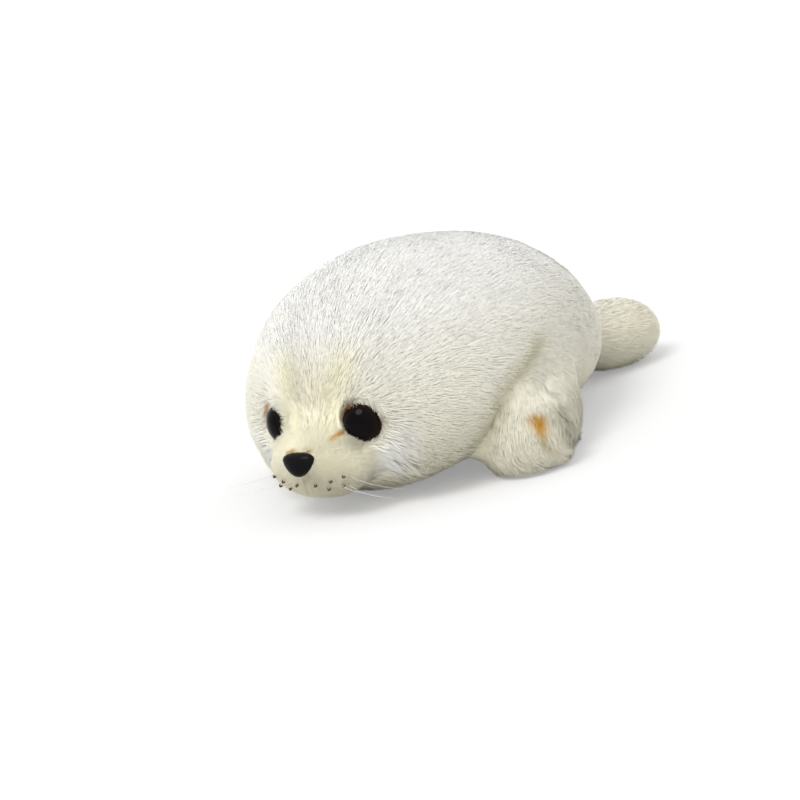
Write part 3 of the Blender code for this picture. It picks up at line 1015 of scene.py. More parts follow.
ARMPIT = Route(((0.0833, -0.0398, 0.0595), (0.0834, -0.0565, 0.0514), (0.0815, -0.0696, 0.0450),
                (0.0792, -0.0772, 0.0397), (0.0740, -0.0818, 0.0308), (0.0673, -0.0839, 0.0236)))
NOTCH = Route(((0.0815, -0.0696, 0.0450), (0.0792, -0.0772, 0.0397), (0.0740, -0.0818, 0.0308),
               (0.0673, -0.0839, 0.0236), (0.0600, -0.0820, 0.0140), (0.0540, -0.0760, 0.0060)))
CREASE = on_side((0.0935, -0.068, 0.0290), (0.0955, -0.0695, 0.0235),
                 (0.0960, -0.0698, 0.0160), (0.0930, -0.067, 0.0050))
BLOB = on_side((0.0935, -0.0690, 0.0285), (0.0950, -0.0670, 0.0275), (0.0955, -0.0690, 0.0235))
FOLD = Route(((0.0915, -0.0440, 0.0305), (0.0975, -0.0490, 0.0250)))
HIND_FOLD = Route(((0.004, 0.100, 0.042), (0.004, 0.120, 0.040), (0.006, 0.142, 0.030)))
SEAM_MARKS = (Mark(ARMPIT, 0.0065, OLIVE, 0.75),)
FRONT_MARKS = (
    Mark(CREASE, 0.0016, FOLDED, 0.90, pull=0.0014),
    Mark(BLOB, 0.0028, ORANGE, 1.0),
    Mark(FOLD, 0.0030, OLIVE, 0.60, pull=0.0008),
)
HIND_MARKS = (Mark(HIND_FOLD, 0.0022, TAN, 0.35, pull=0.0010),)

FRONT = LimbMap((0.060, -0.035, 0.062), 0.0017, FRONT_MARKS, 2.5e6)
HIND = LimbMap((0.008, 0.070, 0.035), 0.0016, HIND_MARKS, 1.9e6)
SEWN = SewnOn(HeadMap(), FRONT, "front_flipper_left")


# Padded covers

@dataclass
class Cover:
    """A padded cover under the pile: a stuffed skin a pile's height inside the solids that it stands for.

    Args:
        name: piece's name.
        nodes: CAD nodes that it replaces.
        fillers: CAD nodes that plug its pockets while it is remeshed.
        coat: the pile's map.
        slot: the record's material slot.
        voxel: size of the remesh.
        fill: how tight the stuffing is.
        cap: furthest that the stuffing may push the cover out.
        inset: part of the pile's height by which the cover lies inside the solids.
        bridged: half the width of the folds that the cover spans.
        held: which of its vertices the stuffing can't move.
    """

    name: str
    nodes: tuple[str, ...]
    fillers: tuple[str, ...]
    coat: SewnOn | LimbMap
    slot: str
    voxel: float
    fill: float
    cap: float
    inset: float = 0.62
    bridged: float = 0.0
    held: Array = field(default_factory=lambda: np.zeros(0, bool))

    def build(self, finish: BackingFinish) -> bpy.types.Object:
        """Makes the cover.

        Args:
            finish: the backing's finish.

        Returns:
            The finished piece.
        """
        piece = self.shell()
        self.shrink(piece)
        self.stuff(piece)
        apply_modifier(piece, "Softened", "SUBSURF", levels=1, render_levels=1)
        activate(piece)
        bpy.ops.object.shade_smooth()
        self.colour(piece)
        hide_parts(*self.nodes)
        return finished(piece, self.slot, finish.material())

    def shell(self) -> bpy.types.Object:
        """One closed skin round the nodes, with their pockets plugged."""
        deselect()
        copies = [link(f"{self.name}_{node}", frame["nodes"][node].data.copy())
                  for node in (*self.nodes, *self.fillers)]
        for copy in copies:
            copy.data.materials.clear()
            copy.select_set(True)
        bpy.context.view_layer.objects.active = copies[0]
        if len(copies) > 1:
            bpy.ops.object.join()
        piece = added(self.name)
        bpy.ops.object.mode_set(mode="EDIT")
        bpy.ops.mesh.select_all(action="SELECT")
        bpy.ops.mesh.remove_doubles(threshold=1e-6)
        bpy.ops.object.mode_set(mode="OBJECT")
        apply_modifier(piece, "Remeshed", "REMESH", mode="VOXEL", voxel_size=self.voxel)
        self.keep_largest(piece)
        if self.bridged:
            creased = link(f"{self.name}_creased", piece.data.copy())
            self.swell(piece, self.bridged)
            apply_modifier(piece, "Bridged", "REMESH", mode="VOXEL", voxel_size=self.voxel)
            self.keep_largest(piece)
            apply_modifier(piece, "Evened", "SMOOTH", factor=0.5, iterations=3)
            self.swell(piece, -self.bridged)
            self.reopen(piece, creased)
        apply_modifier(piece, "Smoothed", "SMOOTH", factor=0.5, iterations=5)
        return piece

    @staticmethod
    def reopen(piece: bpy.types.Object, creased: bpy.types.Object) -> None:
        """Brings the skin back into the notch between belly and front flipper.

        Args:
            piece: the bridged skin.
            creased: the skin before it was bridged, which is used up.
        """
        before = get_points(piece.data)
        weight = 1.0 - ease(0.012, 0.020, NOTCH.nearest(before)[0])
        group = piece.vertex_groups.new(name="notch")
        for index in np.flatnonzero(weight > 0.01):
            group.add([int(index)], float(weight[index]), "REPLACE")
        apply_modifier(piece, "Reopened", "SHRINKWRAP", target=creased, wrap_method="PROJECT",
                       project_limit=0.02, use_negative_direction=True, use_positive_direction=True,
                       vertex_group=group.name)
        piece.vertex_groups.clear()
        log.info("%s: reopened by up to %.1f mm", piece.name,
                 np.linalg.norm(get_points(piece.data) - before, axis=1).max() * 1000.0)
        bpy.data.meshes.remove(creased.data)

    @staticmethod
    def swell(piece: bpy.types.Object, step: float) -> None:
        """Moves the skin out along its normals, or in where the step is negative."""
        set_points(piece.data, get_points(piece.data) + get_normals(piece.data) * step)

    @staticmethod
    def keep_largest(piece: bpy.types.Object) -> None:
        """Drops any shell left inside by a pocket."""
        activate(piece)
        bpy.ops.object.mode_set(mode="EDIT")
        bpy.ops.mesh.select_all(action="DESELECT")
        bpy.ops.object.mode_set(mode="OBJECT")
        highest = int(get_points(piece.data)[:, 2].argmax())
        piece.data.vertices[highest].select = True
        bpy.ops.object.mode_set(mode="EDIT")
        bpy.ops.mesh.select_mode(type="VERT")
        bpy.ops.mesh.select_linked()
        bpy.ops.mesh.select_all(action="INVERT")
        bpy.ops.mesh.delete(type="VERT")
        bpy.ops.object.mode_set(mode="OBJECT")

    def shrink(self, piece: bpy.types.Object) -> None:
        """Brings the skin in by the pile's height and the seams' depth."""
        points, normals = get_points(piece.data), get_normals(piece.data)
        valley = self.coat.valley(points)
        self.held = (valley > 0.0006) | (points[:, 2] < 0.0090)
        depth = self.coat.height(points) * self.inset + valley
        points -= normals * depth[:, None]
        points[:, 2] = np.maximum(points[:, 2], 0.0010)
        if isinstance(self.coat, SewnOn):
            points = self.coat.with_sockets(points)
        set_points(piece.data, points)

    def stuff(self, piece: bpy.types.Object) -> None:
        """Puffs the cover with cloth under pressure, held at its seams and where it rests."""
        start = get_points(piece.data)
        group = piece.vertex_groups.new(name="held")
        group.add([int(index) for index in np.flatnonzero(self.held)], 1.0, "REPLACE")
        modifier = piece.modifiers.new("Stuffing", "CLOTH")
        settings = modifier.settings
        settings.vertex_group_mass = group.name
        settings.use_pressure = True
        settings.uniform_pressure_force = 4.0
        settings.effector_weights.gravity = 0.0
        scene = bpy.context.scene
        for number in range(1, 21):
            scene.frame_set(number)
        shaped = piece.evaluated_get(bpy.context.evaluated_depsgraph_get()).to_mesh()
        moved = get_points(shaped) - start
        piece.evaluated_get(bpy.context.evaluated_depsgraph_get()).to_mesh_clear()
        piece.modifiers.remove(modifier)
        piece.vertex_groups.clear()
        scene.frame_set(1)
        far = np.linalg.norm(moved, axis=1, keepdims=True)
        log.info("%s: stuffing moved it by up to %.1f mm", self.name, far.max() * 1000.0)
        moved *= np.minimum(1.0, self.cap / np.maximum(far, 1e-9))
        set_points(piece.data, start + moved)

    def colour(self, piece: bpy.types.Object) -> None:
        """Gives the backing the colour of the strands' roots."""
        mesh = piece.data
        lie = self.coat.lie(get_points(mesh), get_normals(mesh))
        tint = mesh.color_attributes.new(TINT, "FLOAT_COLOR", "POINT")
        colours = np.ones((len(mesh.vertices), 4), np.float32)
        colours[:, :3] = lie.root * 0.97
        tint.data.foreach_set("color", colours.ravel())


# Strands

class Fibre(Enum):
    """The two kinds of strand."""

    UNDER = "under"
    GUARD = "guard"


@dataclass(frozen=True)
class Strand:
    """One strand, modelled once and copied over a cover.

    Args:
        kind: under is a plain spike, and guard has a ring halfway, so that it bends.
        width: width at the root, in metres.
        longer: length against the pile's own.
        share: part of the pile's strands that are of this kind.
        soft: how far a strand's outer side is shaded like the cover under it, from 0 to 1.
        under: the same for its inner edge.
    """

    kind: Fibre
    width: float
    longer: float
    share: float
    soft: float = 0.95
    under: float = 0.15

    def template(self) -> tuple[Array, list[list[int]]]:
        """A strand of length one along Z and a root half a unit in radius.

        Returns:
            Its vertices and the vertex numbers of each face.
        """
        deselect()
        bpy.ops.mesh.primitive_cone_add(vertices=3, radius1=0.5, radius2=0.0, depth=1.0,
                                        location=(0.0, 0.0, 0.5))
        piece = added("strand")
        if self.kind is Fibre.GUARD:
            bpy.ops.object.mode_set(mode="EDIT")
            bpy.ops.mesh.select_all(action="SELECT")
            bpy.ops.mesh.bisect(plane_co=(0.0, 0.0, 0.5), plane_no=(0.0, 0.0, 1.0))
            bpy.ops.transform.resize(value=(1.7, 1.7, 1.0))
            bpy.ops.object.mode_set(mode="OBJECT")
        bpy.ops.object.transform_apply(location=True, rotation=True, scale=True)
        points = get_points(piece.data)
        faces = [list(face.vertices) for face in piece.data.polygons]
        bpy.data.meshes.remove(piece.data)
        return points, faces


@dataclass
class Growth:
    """Roots on a cover and what grows from them."""

    roots: Array
    normals: Array
    lie: Lie

    def part(self, chosen: Array) -> "Growth":
        """Only the chosen roots."""
        lie = self.lie
        picked = Lie(lie.height[chosen], lie.lift[chosen], lie.along[chosen], lie.clump[chosen],
                     lie.tip[chosen], lie.root[chosen], lie.density[chosen])
        return Growth(self.roots[chosen], self.normals[chosen], picked)


@dataclass
class Pile:
    """The strands on one cover, in pieces small enough to keep.

    Args:
        name: start of the pieces' names.
        coat: the pile's map.
        slot: the record's material slot.
        strands: the kinds of strand.
        tuft: usual width of a tuft.
        seed: start of the random numbers.
        panels: splits roots into named pieces.
    """

    name: str
    coat: SewnOn | LimbMap
    slot: str
    strands: tuple[Strand, ...]
    tuft: float
    seed: int
    panels: Callable[[Array], dict[str, Array]]

    def build(self, cover: bpy.types.Object, finish: PileFinish, short: PileFinish) -> list[bpy.types.Object]:
        """Grows the pile on a cover.

        Args:
            cover: finished cover.
            finish: the fibre's finish.
            short: the fibre's finish on the face.

        Returns:
            The pile's pieces.
        """
        rng = np.random.default_rng(self.seed)
        growth = self.roots(cover, rng)
        kinds = rng.choice(len(self.strands), len(growth.roots), p=[strand.share for strand in self.strands])
        tuft = Tufts(self.tuft, self.seed, (1.0, 1.0, 1.8)).split(growth.roots)
        tips, bends = self.shape(growth, tuft, rng)
        looks = {False: (self.slot, finish.material()), True: ("short_pile", short.material())}
        pieces = []
        for label, chosen in self.panels(growth.roots).items():
            parts = []
            for index, strand in enumerate(self.strands):
                own = np.flatnonzero(chosen & (kinds == index))
                parts.append(self.copies(strand, growth.part(own), tips[own], bends[own], rng))
            pieces.append(finished(self.joined(f"{self.name}_{label}", parts), *looks[label == "face"]))
        return pieces

    def roots(self, cover: bpy.types.Object, rng: np.random.Generator) -> Growth:
        """Spreads roots over the cover, as dense as the map says.

        Args:
            cover: finished cover.
            rng: random numbers.

        Returns:
            The roots and the pile there.
        """
        mesh = cover.data
        mesh.calc_loop_triangles()
        corners = np.empty(len(mesh.loop_triangles) * 3, np.int32)
        mesh.loop_triangles.foreach_get("vertices", corners)
        corners = corners.reshape(-1, 3)
        points, normals = get_points(mesh), get_normals(mesh)
        ends = points[corners]
        area = np.linalg.norm(np.cross(ends[:, 1] - ends[:, 0], ends[:, 2] - ends[:, 0]), axis=1) / 2.0
        density = self.coat.lie(ends.mean(1), unit(normals[corners].mean(1))).density
        total = np.cumsum(area * density)
        count = int(total[-1])
        spread = (np.arange(count) + rng.random(count)) / count * total[-1]
        face = corners[np.minimum(np.searchsorted(total, spread), len(corners) - 1)]
        first, second = np.sqrt(rng.random((count, 1))), rng.random((count, 1))
        weights = np.stack([1.0 - first, first * (1.0 - second), first * second], 1)
        roots = (points[face] * weights).sum(1)
        facing = unit((normals[face] * weights).sum(1))
        grown = ~self.coat.bare(roots)
        roots, facing = roots[grown], facing[grown]
        return Growth(roots, facing, self.coat.lie(roots, facing))

    def shape(self, growth: Growth, tuft: Array, rng: np.random.Generator) -> Pair:
        """Works out where each strand bends and ends.

        Args:
            growth: the roots.
            tuft: number of each root's tuft.
            rng: random numbers.

        Returns:
            The tips, and the points towards which the strands start out.
        """
        lie, normals, roots = growth.lie, growth.normals, growth.roots
        count, tufts = len(roots), int(tuft.max()) + 1
        own_lift = lie.lift * rng.normal(1.0, 0.06, count)
        shared_lift = rng.normal(0.0, 0.08, tufts)[tuft] * lie.clump
        lift = np.clip(own_lift + shared_lift * 0.5, 0.06, 1.35)
        turn = rng.normal(0.0, 0.09, count) + rng.normal(0.0, 0.25, tufts)[tuft] * lie.clump
        aside = np.cross(normals, lie.along)
        along = lie.along * np.cos(turn)[:, None] + aside * np.sin(turn)[:, None]
        length = lie.height / np.sin(lie.lift) * rng.uniform(0.90, 1.06, count)
        length *= 1.0 + rng.uniform(-0.12, 0.12, tufts)[tuft] * lie.clump
        tips = roots + (along * np.cos(lift)[:, None] + normals * np.sin(lift)[:, None]) * length[:, None]
        shared = tuft_mean(tuft, tips)
        tips = mix(tips, shared, lie.clump[:, None] * rng.uniform(0.5, 1.0, (count, 1)))
        steep = np.minimum(lift * 1.5, 1.45)
        start_way = along * np.cos(steep)[:, None] + normals * np.sin(steep)[:, None]
        bends = roots + start_way * length[:, None] * 0.5
        tips[:, 2] = np.maximum(tips[:, 2], 0.0003)
        bends[:, 2] = np.maximum(bends[:, 2], 0.0004)
        return tips, bends

    @staticmethod
    def copies(strand: Strand, growth: Growth, tips: Array, bends: Array, rng: np.random.Generator) -> tuple:
        """Copies a strand to each root.

        Args:
            strand: the kind of strand.
            growth: its roots.
            tips: where the strands end.
            bends: points towards which they start out.
            rng: random numbers.

        Returns:
            Vertices, faces by their corners' numbers, normals and colours.
        """
        shape, faces = strand.template()
        count = len(growth.roots)
        up = shape[None, :, 2:]
        base = growth.roots - growth.normals * 0.0004
        tips = growth.roots + (tips - growth.roots) * strand.longer
        near, far = (1.0 - up) ** 2, up ** 2
        axis = near * base[:, None] + 2.0 * up * (1.0 - up) * bends[:, None] + far * tips[:, None]
        reach = unit(tips - base)
        side = unit(np.cross(reach, growth.normals))
        over = np.cross(reach, side)
        spin = rng.normal(0.0, 0.3, count)[:, None]
        first = side * np.cos(spin) + over * np.sin(spin)
        second = over * np.cos(spin) - side * np.sin(spin)
        ring = first[:, None] * shape[None, :, :1] + second[:, None] * shape[None, :, 1:2] * 0.6
        length = np.linalg.norm(tips - base, axis=1)
        width = np.minimum(strand.width, length * 0.16) * rng.uniform(0.8, 1.2, count)
        points = axis + ring * width[:, None, None]
        points[:, :, 2] = np.maximum(points[:, :, 2], 0.0002)
        soft = np.where(shape[:, 1:2] > 0.1, strand.under, strand.soft)[None]
        facing = unit(growth.normals[:, None] * soft + unit(ring + 1e-9) * (1.0 - soft))
        shade = rng.normal(1.0, 0.008, (count, 1, 1))
        colour = mix(growth.lie.root[:, None], growth.lie.tip[:, None], np.sqrt(up)) * shade
        return points, faces, facing, np.clip(colour, 0.0, 0.985)

    @staticmethod
    def joined(name: str, parts: list[tuple]) -> bpy.types.Object:
        """Makes one mesh of all strands of a panel.

        Args:
            name: piece's name.
            parts: what copies gave for each kind of strand.

        Returns:
            The new piece.
        """
        points, normals, colours, corners, sizes = [], [], [], [], []
        start = 0
        for shape, faces, facing, colour in parts:
            count, each = shape.shape[:2]
            shift = start + np.arange(count)[:, None] * each
            corners.append((shift + np.concatenate(faces)[None]).ravel())
            sizes.append(np.tile([len(face) for face in faces], count))
            for rows, part in ((points, shape), (normals, facing), (colours, colour)):
                rows.append(part.reshape(-1, 3))
            start += count * each
        corner, size = np.concatenate(corners), np.concatenate(sizes)
        mesh = bpy.data.meshes.new(name)
        mesh.vertices.add(start)
        mesh.vertices.foreach_set("co", np.concatenate(points).astype(np.float32).ravel())
        mesh.loops.add(len(corner))
        mesh.loops.foreach_set("vertex_index", corner.astype(np.int32))
        mesh.polygons.add(len(size))
        mesh.polygons.foreach_set("loop_start", (np.cumsum(size) - size).astype(np.int32))
        mesh.update(calc_edges=True)
        tint = mesh.color_attributes.new(TINT, "FLOAT_COLOR", "POINT")
        shades = np.ones((start, 4), np.float32)
        shades[:, :3] = np.concatenate(colours)
        tint.data.foreach_set("color", shades.ravel())
        mesh.shade_smooth()
        mesh.normals_split_custom_set_from_vertices(np.concatenate(normals))
        return link(name, mesh)


def body_panels(roots: Array) -> dict[str, Array]:
    """Splits the strands of the body's cover into panels.

    Args:
        roots: the strands' roots.

    Returns:
        For each panel's name, which roots belong to it.
    """
    flipper = SEWN.on_limb(roots) > 0.5
    short = (SEWN.body.on_muzzle(roots) > 0.5) & ~flipper
    rest = ~short & ~flipper
    left, front = roots[:, 0] >= 0.0, roots[:, 1] < -0.045
    middle = (roots[:, 1] >= -0.045) & (roots[:, 1] < 0.030)
    return {
        "face": short,
        "head_left": rest & left & front,
        "head_right": rest & ~left & front,
        "side_left": rest & left & middle,
        "side_right": rest & ~left & middle,
        "rump": rest & ~front & ~middle,
        "front_flipper_left": flipper & left,
        "front_flipper_right": flipper & ~left,
    }


def one_panel(roots: Array) -> dict[str, Array]:
    """All strands in one piece."""
    return {"all": np.ones(len(roots), bool)}


# Hard parts

def frame_of(axis: Array, place: Array) -> Matrix:
    """A matrix that puts the local Z along an axis and the origin at a place."""
    turn = Vector(axis).to_track_quat("Z", "Y").to_matrix().to_4x4()
    return Matrix.Translation(Vector(place)) @ turn


@dataclass
class Eye:
    """A glossy eye: a domed cap with a rolled rim, a flat back and a shank through the cover.

    Args:
        side: left or right.
        seat: where it sits.
    """

    side: str
    seat: Seat
    rim_height: float = 0.0012
    shank_radius: float = 0.0024
    shank_length: float = 0.0100

    def build(self, finish: GlossFinish) -> bpy.types.Object:
        """Makes the eye.

        Args:
            finish: the eye's finish.

        Returns:
            The finished piece.
        """
        deselect()
        radius, rise = self.seat.radius, self.seat.rise
        bpy.ops.mesh.primitive_uv_sphere_add(segments=64, ring_count=48, radius=1.0)
        piece = added(f"seal_eye_{self.side}")
        bpy.ops.object.mode_set(mode="EDIT")
        bpy.ops.mesh.select_all(action="SELECT")
        bpy.ops.mesh.bisect(plane_co=(0, 0, 0), plane_no=(0, 0, 1), clear_inner=True, use_fill=True)
        bpy.ops.transform.resize(value=(1.0, 1.0, 0.0))
        bpy.ops.mesh.select_all(action="SELECT")
        bpy.ops.transform.resize(value=(radius, radius, rise), center_override=(0.0, 0.0, 0.0))
        bpy.ops.object.mode_set(mode="OBJECT")
        for face in piece.data.polygons:
            face.select = face.normal.z < -0.9 and len(face.vertices) > 8
        bpy.ops.object.mode_set(mode="EDIT")
        bpy.ops.mesh.select_mode(type="FACE")
        bpy.ops.mesh.extrude_region_move(TRANSFORM_OT_translate={"value": (0.0, 0.0, -self.rim_height)})
        bpy.ops.mesh.inset(thickness=radius * 0.12)
        bpy.ops.mesh.inset(thickness=radius * 0.88 - self.shank_radius)
        bpy.ops.mesh.extrude_region_move(TRANSFORM_OT_translate={"value": (0.0, 0.0, -self.shank_length)})
        bpy.ops.object.mode_set(mode="OBJECT")
        points = get_points(piece.data)
        reach = np.linalg.norm(points[:, :2], axis=1) / radius
        attribute = piece.data.attributes.new(REACH, "FLOAT", "POINT")
        attribute.data.foreach_set("value", reach.astype(np.float32))
        apply_modifier(piece, "Rolled", "BEVEL", width=0.0003, segments=3,
                       limit_method="ANGLE", angle_limit=1.0)
        piece.data.transform(frame_of(self.seat.axis, self.seat.rim))
        bpy.ops.object.shade_smooth_by_angle(angle=math.radians(40.0))
        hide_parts(f"eye_{self.side}")
        return finished(piece, "eye", finish.material())


@dataclass
class Nose:
    """The moulded nose, a smoother copy of its solid."""

    node: str = "nose"

    def build(self, finish: GlossFinish) -> bpy.types.Object:
        """Makes the nose.

        Args:
            finish: the nose's finish.

        Returns:
            The finished piece.
        """
        deselect()
        piece = link("seal_nose", frame["nodes"][self.node].data.copy())
        activate(piece)
        bpy.ops.object.mode_set(mode="EDIT")
        bpy.ops.mesh.select_all(action="SELECT")
        bpy.ops.mesh.remove_doubles(threshold=1e-6)
        bpy.ops.object.mode_set(mode="OBJECT")
        apply_modifier(piece, "Remeshed", "REMESH", mode="VOXEL", voxel_size=0.0005)
        apply_modifier(piece, "Smoothed", "SMOOTH", factor=0.5, iterations=2)
        bpy.ops.object.shade_smooth()
        points = get_points(piece.data)
        middle, half = node_middle(self.node), node_half(self.node)
        reach = np.linalg.norm((points - middle)[:, (0, 2)] / half[[0, 2]], axis=1)
        attribute = piece.data.attributes.new(REACH, "FLOAT", "POINT")
        attribute.data.foreach_set("value", reach.astype(np.float32))
        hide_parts(self.node)
        return finished(piece, "nose", finish.material())


def thread(name: str, places: Array, radii: tuple[float, ...], thickness: float,
           sides: int) -> bpy.types.Object:
    """A round thread along five places, closed at both ends.

    Args:
        name: piece's name.
        places: five points that pull the thread's line.
        radii: shares of the thickness at those points.
        thickness: the thread's radius.
        sides: how finely it is rounded.

    Returns:
        The thread as a mesh object.
    """
    deselect()
    bpy.ops.curve.primitive_nurbs_path_add()
    piece = added(name)
    for point, place, radius in zip(piece.data.splines[0].points, places, radii):
        point.co = (*place, 1.0)
        point.radius = radius
    piece.data.bevel_depth = thickness
    piece.data.bevel_resolution = sides
    piece.data.use_fill_caps = True
    piece.data.resolution_u = 6
    bpy.ops.object.convert(target="MESH")
    piece = added(name)
    bpy.ops.object.mode_set(mode="EDIT")
    bpy.ops.mesh.select_all(action="SELECT")
    bpy.ops.mesh.remove_doubles(threshold=1e-6)
    bpy.ops.mesh.normals_make_consistent(inside=False)
    bpy.ops.object.mode_set(mode="OBJECT")
    bpy.ops.object.shade_smooth_by_angle(angle=math.radians(50.0))
    return piece


@dataclass
class Whisker:
    """A tapered nylon filament along its solid.

    Args:
        node: CAD node of the whisker.
    """

    node: str
    thickness: float = 0.00020
    taper: tuple[float, ...] = (1.0, 0.95, 0.75, 0.45, 0.12)

    def build(self, material: bpy.types.Material) -> bpy.types.Object:
        """Makes the whisker."""
        points = node_points(self.node)
        reach = np.linalg.norm(points - node_middle("muzzle"), axis=1)
        places = [part.mean(0) for part in np.array_split(points[np.argsort(reach)], 5)]
        places[0] = places[0] * 1.5 - places[1] * 0.5
        piece = thread(f"filament_{self.node[8:]}", np.array(places), self.taper, self.thickness, 2)
        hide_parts(self.node)
        return finished(piece, "whisker", material)


@dataclass
class Stitches:
    """A whisker spot: a few short stitches side by side, sunk in the pile at both ends.

    Args:
        node: CAD node of the spot.
        seed: start of the random numbers.
    """

    node: str
    seed: int
    reach: float = 0.00085
    apart: float = 0.00042
    thickness: float = 0.00026
    taper: tuple[float, ...] = (0.7, 1.0, 1.0, 1.0, 0.7)

    def build(self, material: bpy.types.Material) -> bpy.types.Object:
        """Makes the spot."""
        rng = np.random.default_rng(self.seed)
        middle, half = node_middle("muzzle"), node_half("muzzle")
        place = node_points(self.node).mean(0)
        out = unit((place - middle) / half ** 2)
        turn = rng.uniform(-0.6, 0.6)
        across = unit(np.cross(out, (math.sin(turn), 0.0, math.cos(turn))))
        beside = np.cross(out, across)
        name, pieces = f"stitches_{self.node[13:]}", []
        for row in (-1.0, 0.0, 1.0):
            share = np.linspace(-1.0, 1.0, 5)[:, None]
            line = place + beside * row * self.apart + across * share * self.reach * rng.uniform(0.8, 1.15)
            line = line + out * (0.0010 - 0.0016 * share ** 2)
            pieces.append(thread(name, line, self.taper, self.thickness, 1))
        for piece in pieces:
            piece.select_set(True)
        bpy.ops.object.join()
        piece = added(name)
        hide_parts(self.node)
        return finished(piece, "thread", material)


def dress_nodes(prefix: str, material: bpy.types.Material) -> None:
    """Gives the CAD nodes whose names start so a better material."""
    for name, node in frame["nodes"].items():
        if name.startswith(prefix):
            node.material_slots[0].material = material


# Studio and camera

@dataclass
class Studio:
    """A pale floor that runs up into a backdrop, a soft key lamp, a weak fill and a white surround."""

    floor_size: float = 60.0
    floor_colour: float = 0.60
    floor_glow: float = 0.30
    world_light: float = 0.86
    key_light: float = 1.48
    key_way: Place = (-0.06, 0.56, -0.825)
    key_softness: float = 30.0
    fill_light: float = 0.15
    fill_way: Place = (-0.8, 0.3, -0.4)

    def build(self) -> None:
        """Makes floor, world and lamps."""
        self.floor()
        self.world()
        self.lamp("key", self.key_way, self.key_softness, self.key_light)
        self.lamp("fill", self.fill_way, 60.0, self.fill_light)

    def floor(self) -> None:
        """Makes the floor, whose glow for camera and glossy rays makes it white around its shadow."""
        deselect()
        bpy.ops.mesh.primitive_grid_add(x_subdivisions=8, y_subdivisions=8, size=self.floor_size)
        floor = added("floor")
        floor.location.z = -0.0002
        bpy.ops.object.transform_apply(location=True, rotation=True, scale=True)
        nodes = Nodes("pale_floor")
        grain = nodes.noise(40.0)
        low, high = self.floor_colour - 0.004, self.floor_colour + 0.004
        nodes.join(nodes.blend((low,) * 3, (high,) * 3, grain), nodes.shader.inputs["Base Color"])
        nodes.plain(Roughness=0.9, Specular_IOR_Level=0.0)
        glow = nodes.add("ShaderNodeEmission")
        nodes.join(self.seen(nodes, self.floor_glow), glow.inputs["Strength"])
        both = nodes.add("ShaderNodeAddShader")
        nodes.join(nodes.shader.outputs["BSDF"], both.inputs[0])
        nodes.join(glow.outputs["Emission"], both.inputs[1])
        nodes.join(both.outputs["Shader"], nodes.output.inputs["Surface"])
        floor.data.materials.append(nodes.material)

    @staticmethod
    def seen(nodes: "Nodes", strength: float) -> bpy.types.NodeSocket:
        """A strength for camera, glossy and transmission rays, and 0 for all others."""
        path = nodes.add("ShaderNodeLightPath")
        one = nodes.add("ShaderNodeMath", operation="MAXIMUM")
        two = nodes.add("ShaderNodeMath", operation="MAXIMUM")
        times = nodes.add("ShaderNodeMath", operation="MULTIPLY")
        times.inputs[1].default_value = strength
        nodes.join(path.outputs["Is Camera Ray"], one.inputs[0])
        nodes.join(path.outputs["Is Glossy Ray"], one.inputs[1])
        nodes.join(one.outputs["Value"], two.inputs[0])
        nodes.join(path.outputs["Is Transmission Ray"], two.inputs[1])
        nodes.join(two.outputs["Value"], times.inputs[0])
        return times.outputs["Value"]

    def world(self) -> None:
        """Makes the white surround: strength 1 where it is seen, less where it lights."""
        world = bpy.data.worlds.new("surround")
        bpy.context.scene.world = world
        world.use_nodes = True
        tree = world.node_tree
        sky = tree.nodes["Background"]
        sky.inputs["Color"].default_value = (1.0, 1.0, 1.0, 1.0)
        path = tree.nodes.new("ShaderNodeLightPath")
        strength = tree.nodes.new("ShaderNodeMapRange")
        strength.inputs["To Min"].default_value = self.world_light
        strength.inputs["To Max"].default_value = 1.0
        tree.links.new(path.outputs["Is Camera Ray"], strength.inputs["Value"])
        tree.links.new(strength.outputs["Result"], sky.inputs["Strength"])

    @staticmethod
    def lamp(name: str, way: Place, softness: float, strength: float) -> None:
        """A wide, far lamp, so that floor and seal are lit evenly.

        Args:
            name: lamp's name.
            way: direction in which its light goes.
            softness: how wide it looks from the seal, in degrees.
            strength: its light, in watts a square metre.
        """
        data = bpy.data.lights.new(name, "SUN")
        data.angle, data.energy = math.radians(softness), strength
        lamp = bpy.data.objects.new(name, data)
        bpy.context.scene.collection.objects.link(lamp)
        lamp.rotation_mode = "QUATERNION"
        lamp.rotation_quaternion = Vector(way).to_track_quat("-Z", "Y")


